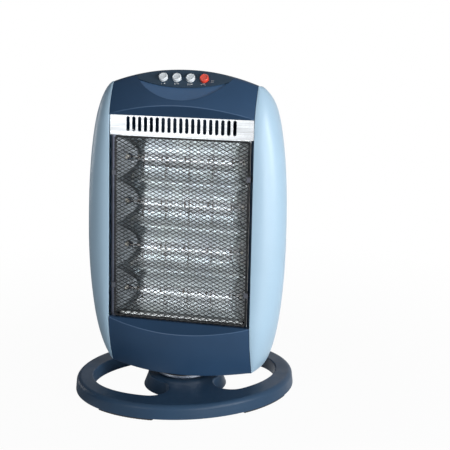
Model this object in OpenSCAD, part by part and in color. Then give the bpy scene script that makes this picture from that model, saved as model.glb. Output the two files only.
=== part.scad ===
// Free-standing halogen heater: four quartz tubes in a polished reflector
// behind a diamond mesh guard, in a moulded head that swings on an oval base.
// Millimetres, +Z up. The origin is the point of the floor under the neck.
// The head faces -Y; the base stands turned under it.

/* [Base] */
// Half length of the oval base
base_half_l = 175; // [165:1:185]
// Half depth of the oval base
base_half_d = 145.7; // [136:1:155]
// Height of the flat top of the base
base_top_z = 24; // [20:1:30]
// Gap between the base wall and the floor
base_lift = 3; // [2:0.5:5]
// Radius of the rounded shoulder of the base
shoulder_r = 8; // [4:1:12]
// Width of the ring beside the windows, at the two ends
ring_end_w = 28; // [22:1:34]
// Width of the ring at the front and the back
ring_side_w = 42; // [34:1:48]
// Half width of the bridge between the windows
bridge_half_w = 36; // [28:1:44]
// Corner radius of the windows
window_r = 28; // [16:1:30]
// Radius of the central drum at its top
drum_r = 59; // [54:1:64]
// How much wider the drum is at its foot
drum_flare = 7; // [3:1:10]
// Wall of the base moulding
base_wall = 3; // [2:0.5:4]
// Angle that the base is turned under the head
base_turn = 26; // [0:1:35]

/* [Feet] */
// Angle that a rubber foot spans along the wall of the base
foot_span = 34; // [24:1:44]
// Width of a rubber foot
foot_w = 10; // [7:1:14]
// Direction of the front right foot, seen from the middle of the base
foot_angle = 45; // [35:1:55]

/* [Neck and swing] */
// Outer radius of the neck tube
neck_r = 15; // [12:0.5:17]
// Bore radius of the neck tube
neck_bore_r = 11; // [8:0.5:11.5]
// Height of the top of the neck tube
neck_top_z = 76; // [74:1:78]
// Running clearance round the neck
neck_clear = 0.08; // [0.03:0.01:0.1]
// Radius of the turntable collar under the head
collar_r = 46; // [40:1:50]
// Gap between the collar and the thrust washer, and the washer and the base
washer_t = 2.5; // [2:0.25:4]
// Distance from the neck to the motor shaft
crank_d = 30; // [28:1:33]
// Throw of the crank pin
crank_e = 17.2; // [14:0.2:18]
// Radius of the crank pin
crank_pin_r = 2.5; // [2:0.25:3]
// Side clearance of the crank pin in the slotted arm
slot_clear = 2.2; // [2:0.1:3]

/* [Head] */
// Half distance between the two front seams
seam_half = 115; // [108:1:122]
// Depth of the guard plane in front of the neck axis
guard_y = 42; // [38:1:46]
// How far the side panels swell out past the seams
panel_swell = 45; // [36:1:50]
// Height where the head is widest
wide_z = 250; // [235:1:265]
// Height of the head's underside
head_bot_z = 37; // [36:1:40]
// Height of the corner where the top meets the side panels
head_top_z = 484; // [480:1:488]
// Radius of the arched top seen from the front
top_arch_r = 330; // [300:5:360]
// Fall of the top towards the back, as a share of the depth
top_fall = 0.36; // [0.25:0.01:0.4]
// Depth of the side panel behind the neck axis
back_y = 42; // [36:1:46]
// Forward bulge of the hood between the seams
hood_bulge = 19; // [14:1:22]
// Forward bulge of the lower cover between the seams
lower_bulge = 15; // [10:1:18]
// How far the middle of the lower edge hangs below its ends
skirt_h = 6; // [3:0.5:6.5]
// Backward bulge of the rear cover
rear_bulge = 14; // [8:1:18]
// Lean of the head
lean_deg = 4.6; // [0:0.1:6]
// Wall of the head mouldings
wall = 2.6; // [2:0.2:3.4]
// Gap at each seam between mouldings
seam_gap = 0.4; // [0.2:0.1:0.8]

/* [Window and guard] */
// Height of the lower edge of the window
win_bot_z = 114; // [108:1:118]
// Height of the upper edge of the window
win_top_z = 434; // [428:1:440]
// Width of one diamond of the mesh
mesh_w = 22.2; // [20:0.2:26]
// Height of one diamond of the mesh
mesh_h = 11.8; // [10.6:0.2:14]
// Width of a strand of the mesh
strand_w = 1.2; // [0.8:0.1:1.8]
// Thickness of the mesh sheet
mesh_t = 1.2; // [0.8:0.1:1.6]
// Radius of the frame rod of the guard
frame_r = 1.8; // [1.4:0.1:2.2]

/* [Reflector and tubes] */
// Number of halogen tubes
tube_n = 4; // [3:1:4]
// Height of the slotted strip above the tubes
strip_h = 32; // [28:1:36]
// Radius of a quartz tube
tube_r = 5; // [4:0.25:6]
// Wall of a quartz tube
tube_wall = 1; // [0.8:0.1:1.4]
// Depth of one trough of the reflector
trough_depth = 30; // [24:1:32]
// Thickness of the reflector sheet along the depth
sheet_t = 1.2; // [1:0.1:1.6]
// Number of air slots above the tubes
slot_n = 19; // [15:1:21]
// Spacing of the air slots
slot_pitch = 9.2; // [8:0.1:9.8]
// Width of an air slot
slot_w = 4.4; // [3:0.1:5]
// Height of an air slot
slot_h = 21; // [16:1:23]

/* [Controls] */
// Angle of the control face from the vertical
face_deg = 42; // [36:1:46]
// Radius of the scooped recess round the controls
scoop_r = 88; // [82:1:96]
// Radius of a push button
button_r = 6.75; // [5.5:0.25:8]
// Spacing of the push buttons
button_pitch = 21.6; // [19:0.2:24]
// How far a button stands out of the control face
button_out = 6; // [5:0.5:8]
// Travel of a button
button_travel = 3; // [2:0.5:4]
// Clearance round a button
button_clear = 0.3; // [0.2:0.05:0.5]

/* [Hidden] */
$fn = 64;

// Pivot of the head's lean
lean_z = 60;
// Rolls of the front and the back seam, seen from the side: radius and start height
front_roll_top = [120, 415];
front_roll_low = [185, 125];
back_roll_top = [75, 440];
back_roll_low = [170, 125];
// Depth of the widest line of the side panels, and how far its foot sweeps back
side_line_y = -6;
side_line_sweep = 18;
// Exponents of the panels' outline above and below the widest height
swell_pow_top = 2.4;
swell_pow_low = 2;
// Height of the rounded crown along the top edges, and where the top starts to fall
crown_h = 4;
fall_y = -12;
fall_z = 430;
// Share of the front's lower roll that the lower cover fills out in the middle
low_fill = 0.6;
// Least depth and thickness of the skirt under the lower cover
skirt_end = 0.6;
skirt_t = 3.4;
// Height of the crescent chins at the window, in the middle and at the seams
chin_h = 17;
chin_end = 1;
// Seams across the top and across the underside
top_seam_y = 2;
low_seam_y = 22;
// Radius of the edge under the head
foot_edge_r = 7;

// Control face: a point of its lower edge, its slope, and its inset panel
face_y = -51;
face_z = 463;
face_up = 90 - face_deg;
scoop_start = -3;
scoop_fn = 180;
panel_start = 21.5;
panel_edge_r = 200;
panel_t = 2;
panel_back_t = 3;
panel_under = -panel_t - panel_back_t;
panel_gap = 0.3;
button_row = 38;
cap_chamfer = 1.5;
stem_r = 2.5;
flange_r = button_r + 1.4;
flange_l = 1.5;
switch_top = panel_under - 6;
switch_h = 13;
switch_l = 16;
switch_w = 12;
rail_l = 104;
rail_w = 16;
rail_t = 1.5;
rail_post_x = 47;

// Depths behind the seam plane: mesh, frame rods, reflector strip, tubes
mesh_y = -guard_y + 5;
frame_y = mesh_y + mesh_t + frame_r;
strip_y = frame_y + frame_r + 1.6;
tube_y = strip_y + trough_depth - 12;
rim_y = strip_y - 0.3;
ridge_top_z = win_top_z - strip_h;
trough_bot_z = win_bot_z + 8;
tube_pitch = (ridge_top_z - trough_bot_z) / tube_n;
strip_lap = 6;
strip_half_w = seam_half - 1;
slot_drop = 14.5;
guard_gap = 0.3;
guard_half_w = seam_half - 6.5;
end_run = 27;
end_front_x = guard_half_w - 1;
end_t = 1;
end_top_z = ridge_top_z + 2.5;
cap_x = 98.8;
cap_l = 9.5;
cap_w = 14;
holder_x = cap_x + cap_l + 0.3;
holder_t = 1.2;
holder_d = 34;
clip_heights = [165, 344];
cover_screw_x = seam_half - 9;
cover_screw_heights = [110, 250, 400];
tab_y = back_y - 8.8;
tab_t = 4;
tab_h = 16;
post_h = 4;
vent_w = 38;
vent_h = 4;
vent_step = 46;
vent_pitch = 10;
vent_starts = [130, 290];
vent_rows = [5, 10];
grip_z = 418;
grip_w = 110;
grip_h = 26;
grip_d = 26;
grip_y = back_y + rear_bulge - grip_d;
screw_head_y = back_y - 0.6;
inlet_x = 45;
inlet_z = 62;
inlet_y = 43;
inlet_r = 6.6;
inlet_flange_r = 10;
inlet_boss_l = 8;
boss_x = 74;
boss_y = -18;
boss_r = 6;
// Length of a cutter that passes right through a part, and of one that passes through the head
cut_l = 80;
head_cut_l = 600;

// Heights on the neck, from the floor up
hub_floor = base_top_z - base_wall;
hub_r = 50;
// Ledge between the top of the drum and the windows' wall above it
drum_step = 0.5;
collar_z = base_top_z + washer_t + 0.3;
collar_t = 6.2;
pedestal_r = 32;
chassis_z = 48;
chassis_t = 3;
chassis_l = 168;
chassis_w = 52;
sleeve_r = 20;
sleeve_top_z = 60;
clip_gap = 0.3;
clip_t = 2;
neck_flange_r = 26;
flange_t = 3;
arm_z = 69;
arm_t = 4;
crank_z = arm_z + arm_t + 2;
crank_t = 4;
motor_z = crank_z + crank_t + 3;
motor_h = 15;
motor_r = 25;
shaft_r = 3;
ear_r = 6;
bracket_t = 2;
bracket_w = 32;
bracket_foot = 9;
bracket_x = [-72, 28];
screw_r = 1.6;
screw_clear = 0.2;
cover_t = 3;
tip_x = 37;
tip_l = 20;
tip_w = 14;
tip_h = 9;
plunger_r = 3;
plunger_drop = 3;
plunger_low = 0.3;
plunger_rim = 1;
crank_rest = 75.4;
foot_inset = 0.6;
wall_draft = 1.4;

// Oval of the base and the outline inside its ring
oval_points = 72;
ring_in_l = base_half_l - ring_end_w;
ring_in_d = base_half_d - ring_side_w;

function sq(a) = a * a;
// Drop of an arc of radius r at the distance d from its crest
function sag(r, d) = r - sqrt(max(0, sq(r) - sq(d)));
// Amounts by which z lies above and below a height
function over(z, h) = max(0, z - h);
// Front seam and back seam seen from the side
function seam_y(z) = -guard_y + sag(front_roll_top[0], over(z, front_roll_top[1]))
    + sag(front_roll_low[0], over(front_roll_low[1], z));
function back_seam_y(z) = back_y - sag(back_roll_top[0], over(z, back_roll_top[1]))
    - sag(back_roll_low[0], over(back_roll_low[1], z));
// Slope of those seams: 0 is upright, +90 faces up, -90 faces down
function tilt(z, top, low) = asin(over(z, top[1]) / top[0]) - asin(over(low[1], z) / low[0]);
// Widest line of the side panels, and how far they swell at each height
function side_y(z) = side_line_y + side_line_sweep * sq(over(wide_z, z) / (wide_z - head_bot_z));
function swell(z) = panel_swell * sqrt(1 - (z > wide_z
    ? pow((z - wide_z) / (head_top_z - wide_z), swell_pow_top)
    : pow((wide_z - z) / (wide_z - head_bot_z), swell_pow_low)));
// Share of a bulge that is left at x, and the arched top
function bow(x) = 1 - sq(x / seam_half);
function top_z(x) = head_top_z + sag(top_arch_r, seam_half) - sag(top_arch_r, abs(x));
// Amount by which the top falls at the depth y
function fall(y, z) = top_fall * over(y, fall_y) * sq(min(1, over(z, fall_z) / (head_top_z - fall_z)));
// Step i of n between a and b
function mix(a, b, i, n) = a + (b - a) * i / n;

// Head's frame: everything in it leans back with the head
module lean() translate([0, 0, lean_z]) rotate([-lean_deg, 0, 0]) translate([0, 0, -lean_z])
    children();

// Base's frame, turned under the head
module turned() rotate(base_turn) children();

// Control face's frame: x across, y up the face, z out of it
module face_frame() translate([0, face_y, face_z]) rotate([face_up, 0, 0]) children();

// Prism along X whose side view is given as [y, z] points
module side_prism(points, half_w)
    translate([-half_w, 0, 0]) rotate([90, 0, 90]) linear_extrude(2 * half_w) polygon(points);

// Closed solid through rings of points. A hollow ring holds its outer points and then its
// inner points in reverse, and its two ends are closed by a strip between them.
module loft(rings, hollow = false) {
    n = len(rings[0]);
    m = len(rings);
    last = (m - 1) * n;
    sides = [for (i = [0 : m - 2], j = [0 : n - 1])
        let (a = i * n + j, b = i * n + (j + 1) % n) each [[a, b + n, b], [a, a + n, b + n]]];
    strips = [for (j = [0 : n / 2 - 2]) let (a = j, b = j + 1, c = n - 2 - j, d = n - 1 - j)
        each [[a, b, c], [a, c, d], [last + a, last + c, last + b], [last + a, last + d, last + c]]];
    ends = [[for (j = [0 : n - 1]) j], [for (j = [n - 1 : -1 : 0]) last + j]];
    polyhedron([for (r = rings) each r], concat(sides, hollow ? strips : ends), convexity = 8);
}

// Holes or pins for four screws on a circle
module four(circle_r, r, z, h) for (a = [45 : 90 : 315]) rotate(a)
    translate([circle_r, 0, z]) cylinder(h = h, r = r, $fn = 24);

// Oval block through a section given as [inset, z] points, from the bottom up
module oval_block(section) loft([for (p = section) [for (i = [0 : oval_points - 1])
    let (t = 360 * i / oval_points)
    [(base_half_l - p[0]) * cos(t), (base_half_d - p[0]) * sin(t), p[1]]]]);

// Section of the base, inset by w: a drafted wall, a rounded shoulder and the flat top
function base_section(w, low) = concat([[w, low]],
    [for (a = [0 : 15 : 90]) [w + wall_draft + (shoulder_r - w) * (1 - cos(a)),
        base_top_z - w - (shoulder_r - w) * (1 - sin(a))]]);

// Window on the +X side; grow makes it wider all round
module window_outline(grow = 0)
    offset(r = window_r + grow, $fn = 40) offset(delta = -window_r) difference() {
        polygon([for (t = [0 : 6 : 354]) [ring_in_l * cos(t), ring_in_d * sin(t)]]);
        circle(drum_r);
        translate([-base_half_l, -base_half_d])
            square([base_half_l + bridge_half_w, 2 * base_half_d]);
    }

module windows(grow = 0) for (s = [0, 180]) rotate(s)
    translate([0, 0, -1]) linear_extrude(base_top_z + 2) window_outline(grow);

// Strips along the outer wall where the four feet sit
module foot_strips(z0, z1, inset, w) intersection() {
    difference() {
        oval_block([[inset, z0], [inset, z1]]);
        oval_block([[inset + w, z0 - 1], [inset + w, z1 + 1]]);
    }
    for (a = [0, 180], m = [-1, 1]) rotate(a + m * foot_angle) translate([0, 0, z0 - 1])
        linear_extrude(z1 - z0 + 2) polygon([[0, 0],
            [base_half_l, -base_half_l * tan(foot_span / 2)],
            [base_half_l, base_half_l * tan(foot_span / 2)]]);
}

// ---- Base ----

// Oval moulding, open below, with two windows beside the bridge and a tapered drum
module base_shell() color("#33434f") turned() difference() {
    union() {
        difference() {
            oval_block(base_section(0, base_lift));
            windows();
            difference() {
                oval_block(base_section(base_wall, base_lift - 1));
                windows(base_wall);
                foot_strips(base_lift - 2, base_top_z, foot_inset, foot_w);
                cylinder(h = base_top_z, r = hub_r + 1);
            }
        }
        translate([0, 0, base_lift])
            cylinder(h = hub_floor - base_lift, r1 = drum_r + drum_flare, r2 = drum_r - drum_step);
    }
    difference() {
        translate([0, 0, base_lift - 1]) cylinder(h = hub_floor - base_lift + 1, r = hub_r);
        four(hub_r - 7, 4.5, base_lift + cover_t, hub_floor);
    }
    translate([0, 0, base_lift]) cylinder(h = base_top_z, r = neck_r + neck_clear);
    four(hub_r - 7, screw_r, 0, hub_floor - 2);
    four(neck_flange_r - 5, screw_r, hub_floor - 1, base_wall);
}

// Plate that closes the drum from below, with the hole of the tip-over plunger
module base_cover() color("#232a30") turned() difference() {
    translate([0, 0, base_lift]) cylinder(h = cover_t, r = hub_r - 0.2);
    translate([tip_x, 0, base_lift - 1]) cylinder(h = cover_t + 2, r = plunger_r + 0.4);
    four(hub_r - 7, screw_r + screw_clear, base_lift - 1, cover_t + 2);
    four(hub_r - 7, 2 * screw_r + screw_clear, base_lift - 1, cover_t / 2 + 1);
}

// Four rubber strips under the ring
module base_feet() color("#1c1f22") turned()
    foot_strips(0, base_lift, foot_inset, foot_w);

// Screws of the cover plate and of the neck flange
module base_screws() color("#8d9298") turned() {
    four(hub_r - 7, 2 * screw_r, base_lift, cover_t / 2);
    four(hub_r - 7, screw_r, base_lift + cover_t / 2, 12);
    four(neck_flange_r - 5, 2 * screw_r, hub_floor - flange_t - 1.6, 1.6);
    four(neck_flange_r - 5, screw_r, hub_floor - flange_t, flange_t + 2);
}

// Tube that the head turns on, with its flange under the drum and a clip groove
module neck_tube() color("#b9bec3") turned() difference() {
    union() {
        translate([0, 0, hub_floor - flange_t]) cylinder(h = flange_t, r = neck_flange_r);
        translate([0, 0, hub_floor - flange_t])
            cylinder(h = neck_top_z - hub_floor + flange_t, r = neck_r);
    }
    translate([0, 0, base_lift]) cylinder(h = neck_top_z, r = neck_bore_r);
    four(neck_flange_r - 5, screw_r + screw_clear, hub_floor - flange_t - 1, flange_t + 2);
    translate([0, 0, sleeve_top_z + clip_gap]) difference() {
        cylinder(h = clip_t, r = neck_r + 1);
        cylinder(h = clip_t, r = neck_r - 1.2);
    }
}

// Low-friction washer that the turntable runs on
module thrust_washer() color("#e8e6dc") translate([0, 0, base_top_z]) difference() {
    cylinder(h = washer_t, r = pedestal_r + 2);
    translate([0, 0, -1]) cylinder(h = washer_t + 2, r = neck_r + 0.2);
}

// Spring clip in the neck's groove, open to one side, which keeps the head down
module neck_clip() color("#9aa0a6") turned() translate([0, 0, sleeve_top_z + clip_gap + 0.05])
    difference() {
        cylinder(h = clip_t - 0.1, r = neck_r + 4);
        translate([0, 0, -1]) cylinder(h = clip_t + 2, r = neck_r - 1.1);
        translate([0, -5, -1]) cube([neck_r + 5, 10, clip_t + 2]);
    }

// Arm clamped on the neck; the crank pin works in its slot and so swings the head
module slotted_arm() color("#9aa0a6") turned() translate([0, 0, arm_z]) {
    slot_r = crank_pin_r + slot_clear;
    tip = crank_d + crank_e + 3;
    difference() {
        union() {
            cylinder(h = arm_t, r = neck_r + 5);
            translate([-tip, -slot_r - 4, 0]) cube([tip, 2 * slot_r + 8, arm_t]);
            translate([-tip, 0, 0]) cylinder(h = arm_t, r = slot_r + 4);
        }
        translate([0, 0, -1]) cylinder(h = arm_t + 2, r = neck_r + 0.05);
        translate([-tip, -slot_r, -1]) cube([tip - crank_d + 3, 2 * slot_r, arm_t + 2]);
        for (x = [-tip, -crank_d + 3]) translate([x, 0, -1]) cylinder(h = arm_t + 2, r = slot_r);
    }
}

// Switch that cuts the power when the heater tips over
module tip_switch() color("#2a2a2c") turned() difference() {
    translate([tip_x - tip_l / 2, -tip_w / 2, hub_floor - tip_h]) cube([tip_l, tip_w, tip_h]);
    translate([tip_x, 0, 0]) cylinder(h = hub_floor - 2, r = plunger_r + 0.1);
}

// Plunger that the floor holds up
module tip_plunger() color("#d8d8d2") turned() translate([tip_x, 0, plunger_low]) {
    cylinder(h = base_lift - 2 * plunger_low, r = plunger_r + 2.5);
    cylinder(h = hub_floor - 4, r = plunger_r);
    translate([0, 0, base_lift + cover_t + plunger_drop])
        cylinder(h = plunger_rim, r = plunger_r + 1.6);
}

// ---- Head: turntable and drive ----

// Collar that shows under the head, its pedestal and the bearing sleeve
module turntable_collar() color("#2b3640") difference() {
    union() {
        translate([0, 0, collar_z + 1.5]) cylinder(h = collar_t - 1.5, r = collar_r);
        translate([0, 0, collar_z]) cylinder(h = 1.5, r1 = collar_r - 1.5, r2 = collar_r);
        translate([0, 0, collar_z]) cylinder(h = chassis_z - collar_z, r = pedestal_r);
        translate([0, 0, collar_z]) cylinder(h = sleeve_top_z - collar_z, r = sleeve_r);
    }
    translate([0, 0, collar_z - 1]) cylinder(h = sleeve_top_z, r = neck_r + neck_clear);
}

// Steel plate in the head that stands on the pedestal and on the lower cover's bosses
module chassis_plate() color("#a9afb5") difference() {
    translate([-chassis_l / 2, -chassis_w / 2, chassis_z])
        cube([chassis_l, chassis_w, chassis_t]);
    translate([0, 0, chassis_z - 1]) cylinder(h = chassis_t + 2, r = sleeve_r + 0.1);
}

// Bridge over the neck that carries the motor
module motor_bracket() color("#a9afb5") {
    low = chassis_z + chassis_t;
    top = motor_z + motor_h;
    for (x = [bracket_x[0], bracket_x[1] - bracket_t]) translate([x, -bracket_w / 2, low])
        cube([bracket_t, bracket_w, top - low + bracket_t]);
    difference() {
        translate([bracket_x[0], -bracket_w / 2, top])
            cube([bracket_x[1] - bracket_x[0], bracket_w, bracket_t]);
        translate([-crank_d, 0, top - 1]) cylinder(h = bracket_t + 2, r = ear_r);
    }
    for (x = [bracket_x[0] - bracket_foot, bracket_x[1]]) translate([x, -bracket_w / 2, low])
        cube([bracket_foot, bracket_w, bracket_t]);
}

// Flat synchronous motor with its two ears
module swing_motor() color("#c9ccd0") translate([-crank_d, 0, motor_z]) difference() {
    union() {
        cylinder(h = motor_h, r = motor_r);
        translate([0, 0, motor_h]) cylinder(h = bracket_t, r = ear_r - 0.2);
        for (s = [-1, 1]) translate([0, s * (motor_r + ear_r / 2), motor_h / 2 - 1])
            cylinder(h = 2, r = ear_r);
    }
    translate([0, 0, -1]) cylinder(h = motor_h / 2 + 1, r = shaft_r + neck_clear);
}

// Crank on the motor shaft, shown at its place for the rest pose
module crank_arm() color("#f0eee6") translate([-crank_d, 0, crank_z]) rotate(180 + crank_rest) {
    cylinder(h = motor_z - crank_z + motor_h / 2 - 0.5, r = shaft_r);
    cylinder(h = crank_t, r = 2 * shaft_r);
    translate([0, -4, 0]) cube([crank_e, 8, crank_t]);
    translate([crank_e, 0, 0]) cylinder(h = crank_t, r = 4);
    translate([crank_e, 0, arm_z - 1 - crank_z]) cylinder(h = crank_z - arm_z + 1, r = crank_pin_r);
}

// ---- Head: mouldings ----

// Front face at x, bulging by b in the middle
function front_y(x, z, b) = seam_y(z)
    - bow(x) * (b + low_fill * sag(front_roll_low[0], over(front_roll_low[1], z)));
// Side view points of a front face and of the back face between two heights
function front_arc(x, z0, z1, b, n, skin) = [for (i = [0 : n]) let (z = mix(z0, z1, i, n),
    t = tilt(z, front_roll_top, front_roll_low))
    [front_y(x, z, b) + skin * cos(t), z - skin * sin(t)]];
function back_arc(x, z0, z1, n, skin) = [for (i = [0 : n]) let (z = mix(z0, z1, i, n),
    t = tilt(z, back_roll_top, back_roll_low))
    [back_seam_y(z) + rear_bulge * bow(x) - skin * cos(t), z - skin * sin(t)]];
// Round from a slope t to level, over the crown's height, from the point p; s is the way it faces
function crown(p, t, s, skin) = let (r = crown_h / (1 - sin(t)))
    [for (i = [1 : 4]) let (a = mix(t, 90, i, 4))
        [p[0] + s * (r * cos(t) - (r - skin) * cos(a)), p[1] - r * sin(t) + (r - skin) * sin(a)]];

// Hood's side view at x: chin, front face, crown and top; skin insets it for the inner face
function hood_line(x, skin) = let (z0 = win_top_z + max(chin_end + chin_h * bow(x), skin + 1.4),
    z1 = top_z(x) - crown_h, t = tilt(z1, front_roll_top, front_roll_low),
    p = [front_y(x, z1, hood_bulge), z1])
    concat([[rim_y, win_top_z + skin], [-guard_y + skin * 0.7, win_top_z + skin]],
        front_arc(x, z0, z1, hood_bulge, 7, skin), crown(p, t, 1, skin),
        [[top_seam_y - seam_gap / 2, top_z(x) - skin]]);

function ring_x(x, points) = [for (p = points) [x, p[0], p[1] - fall(p[0], p[1])]];
function reversed(list) = [for (i = [len(list) - 1 : -1 : 0]) list[i]];
hood_half = seam_half - seam_gap / 2;
hood_steps = 20;

// Hood as a full block inside its outer line
module hood_block() loft([for (i = [0 : hood_steps])
    let (x = mix(-hood_half, hood_half, i, hood_steps))
    ring_x(x, reversed(concat(hood_line(x, 0), [[top_seam_y - seam_gap / 2, win_top_z + 30]])))]);

// Space inside the hood's walls, open behind and at both ends
module hood_space() loft([for (i = [0 : hood_steps])
    let (x = mix(-seam_half - 2, seam_half + 2, i, hood_steps))
    ring_x(x, reversed(concat(hood_line(x, wall), [[top_seam_y + 10, top_z(x) - wall],
        [top_seam_y + 10, win_top_z - 10], [rim_y, win_top_z - 10]])))]);

// Round cutter of the scooped recess, in the control face's frame
module scoop(gap) translate([0, scoop_start + scoop_r, -panel_t])
    cylinder(h = 40, r = scoop_r - gap, $fn = scoop_fn);

function button_x(i) = (i - 1.5) * button_pitch;

// Top moulding with its crescent chin and the scooped recess for the controls
module front_hood() color("#26374a") lean() difference() {
    hood_block();
    difference() {
        hood_space();
        face_frame() translate([-seam_half, -10, panel_under]) cube([2 * seam_half, 80, 40]);
    }
    face_frame() scoop(0);
    for (i = [0 : 3]) face_frame() translate([button_x(i), button_row, -20])
        cylinder(h = 40, r = button_r + 2 * button_clear);
}

// Dark inset panel with the four button holes
module control_panel() color("#1b2027") lean() difference() {
    intersection() {
        hood_block();
        face_frame() intersection() {
            scoop(panel_gap);
            translate([0, panel_start + panel_edge_r, -panel_t])
                cylinder(h = panel_t, r = panel_edge_r, $fn = scoop_fn);
        }
    }
    for (i = [0 : 3]) face_frame() translate([button_x(i), button_row, -10])
        cylinder(h = 20, r = button_r + button_clear);
}

// Push button: chamfered cap, retaining flange and stem
module button(i, tint) color(tint) lean() face_frame() translate([button_x(i), button_row, 0]) {
    straight = button_out - cap_chamfer;
    translate([0, 0, panel_under]) cylinder(h = straight - panel_under, r = button_r);
    translate([0, 0, straight])
        cylinder(h = cap_chamfer, r1 = button_r, r2 = button_r - cap_chamfer);
    translate([0, 0, panel_under - flange_l - button_clear]) cylinder(h = flange_l, r = flange_r);
    translate([0, 0, switch_top - 2]) cylinder(h = -switch_top, r = stem_r);
}

module heat_button_1() button(0, "#d9dde0");
module heat_button_2() button(1, "#d9dde0");
module heat_button_3() button(2, "#d9dde0");
module swing_button() button(3, "#d8432f");

// Four switches on one rail that hangs from the hood
module switch_bank() color("#2d2f33") lean() face_frame() {
    low = switch_top - switch_h;
    for (i = [0 : 3]) translate([button_x(i), button_row, 0]) difference() {
        translate([-switch_l / 2, -switch_w / 2, low]) cube([switch_l, switch_w, switch_h]);
        translate([0, 0, switch_top - switch_h / 2]) cylinder(h = switch_h, r = stem_r + 0.3);
    }
    translate([-rail_l / 2, button_row - rail_w / 2, low - rail_t]) cube([rail_l, rail_w, rail_t]);
    for (s = [-1, 1]) translate([s * rail_post_x, button_row - 4, low])
        cylinder(h = panel_under - low - 0.2, r = 3.5);
}

// Lower cover's side view at x: rim, chin and front face, then the skirt and the underside
// on the outside, or a rounded corner on the inside
function lower_line(x, skin) = let (
    z0 = win_bot_z - max(chin_end + (chin_h - 2) * bow(x), skin + 1.4),
    z1 = head_bot_z + foot_edge_r, y1 = front_y(x, z1, lower_bulge),
    z2 = head_bot_z - max(skirt_end, skirt_h * bow(x)), y2 = front_y(x, z2, lower_bulge))
    concat([[rim_y, win_bot_z - skin], [-guard_y + skin * 0.7, win_bot_z - skin]],
        front_arc(x, z0, skin > 0 ? z1 + 2 : z2 + 1.4, lower_bulge, 7, skin),
        skin > 0 ? [for (a = [15 : 25 : 90]) [y1 + foot_edge_r - (foot_edge_r - skin) * cos(a),
            z1 - (foot_edge_r - skin) * sin(a)]]
        : [[y2 + 0.4, z2 + 0.4], [y2 + 1.4, z2], [y2 + skirt_t, z2], [y2 + skirt_t + 0.4, head_bot_z]],
        [[low_seam_y - seam_gap / 2, head_bot_z + skin]]);

module lower_front_cover() color("#26374a") difference() {
    union() {
        lean() loft([for (i = [0 : hood_steps])
            let (x = mix(-hood_half, hood_half, i, hood_steps))
            ring_x(x, concat(lower_line(x, 0), reversed(lower_line(x, wall))))], true);
        // Bosses under the chassis plate
        for (s = [-1, 1]) translate([s * boss_x, boss_y, head_bot_z + 3])
            cylinder(h = chassis_z - head_bot_z - 3.2, r = boss_r);
    }
    cylinder(h = chassis_z, r = pedestal_r + 1);
}

// Back cover's side view at x: top, crown, back face, lower edge and underside
function back_line(x, skin) = let (z0 = top_z(x) - crown_h, z1 = head_bot_z + foot_edge_r,
    t = tilt(z0, back_roll_top, back_roll_low), y1 = back_seam_y(z1) + rear_bulge * bow(x),
    p = [back_seam_y(z0) + rear_bulge * bow(x), z0])
    concat([[top_seam_y + seam_gap / 2, top_z(x) - skin]], reversed(crown(p, t, -1, skin)),
        back_arc(x, z0, z1 + 2, 14, skin),
        [for (a = [15 : 25 : 90]) [y1 - foot_edge_r + (foot_edge_r - skin) * cos(a),
            z1 - (foot_edge_r - skin) * sin(a)]],
        [[low_seam_y + seam_gap / 2, head_bot_z + skin]]);

// Rounded upright or level slot cut along Y
module slot_y(w, h, y0, y1) let (r = min(w, h) / 2) translate([0, y0, 0]) rotate([-90, 0, 0]) {
    translate([-w / 2 + (w > h ? r : 0), -h / 2 + (h > w ? r : 0), 0])
        cube([w - (w > h ? 2 * r : 0), h - (h > w ? 2 * r : 0), y1 - y0]);
    for (s = [-1, 1]) translate([w > h ? s * (w / 2 - r) : 0, h > w ? s * (h / 2 - r) : 0, 0])
        cylinder(h = y1 - y0, r = r, $fn = 24);
}

// Places on the line where the back cover and the side panels are screwed together
module at_cover_screws(y) for (s = [-1, 1], z = cover_screw_heights)
    translate([s * cover_screw_x, y, z]) rotate([-90, 0, 0]) children();

// Back moulding with air slots, a hand grip, screw posts and the cord's inlet
module rear_cover() color("#26374a") difference() {
    lean() difference() {
        union() {
            loft([for (i = [0 : hood_steps]) let (x = mix(-hood_half, hood_half, i, hood_steps))
                ring_x(x, reversed(concat(back_line(x, 0), reversed(back_line(x, wall)))))], true);
            // Walls of the grip
            translate([-grip_w / 2 - wall, grip_y - wall, grip_z - grip_h / 2 - wall])
                cube([grip_w + 2 * wall, grip_d, grip_h + 2 * wall]);
            at_cover_screws(tab_y + tab_t + 0.3) cylinder(h = post_h, r = 5, $fn = 32);
            translate([inlet_x, inlet_y - inlet_boss_l, inlet_z]) rotate([-90, 0, 0])
                cylinder(h = inlet_boss_l, r = 2 * inlet_r);
        }
        translate([-grip_w / 2, grip_y, grip_z - grip_h / 2])
            cube([grip_w, grip_d + 20, grip_h]);
        for (k = [0, 1], i = [0 : vent_rows[k] - 1], x = [-1.5 : 1.5])
            translate([x * vent_step, 0, vent_starts[k] + vent_pitch * i])
                slot_y(vent_w, vent_h, back_y - 12, back_y + 30);
        at_cover_screws(0) cylinder(h = cut_l, r = screw_r + screw_clear, $fn = 24);
        at_cover_screws(screw_head_y) cylinder(h = 20, r = 4, $fn = 32);
        translate([inlet_x, 0, inlet_z]) rotate([-90, 0, 0]) cylinder(h = cut_l, r = inlet_r);
        translate([inlet_x, inlet_y, inlet_z]) rotate([-90, 0, 0])
            cylinder(h = 20, r = inlet_flange_r + 0.4);
    }
    cylinder(h = chassis_z, r = pedestal_r + 1);
}

// Screws that hold the back cover to the side panels
module cover_screws() color("#8d9298") lean() {
    at_cover_screws(tab_y) cylinder(h = screw_head_y - tab_y, r = screw_r, $fn = 24);
    at_cover_screws(screw_head_y) cylinder(h = 2, r = 3.4, $fn = 32);
}

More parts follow.
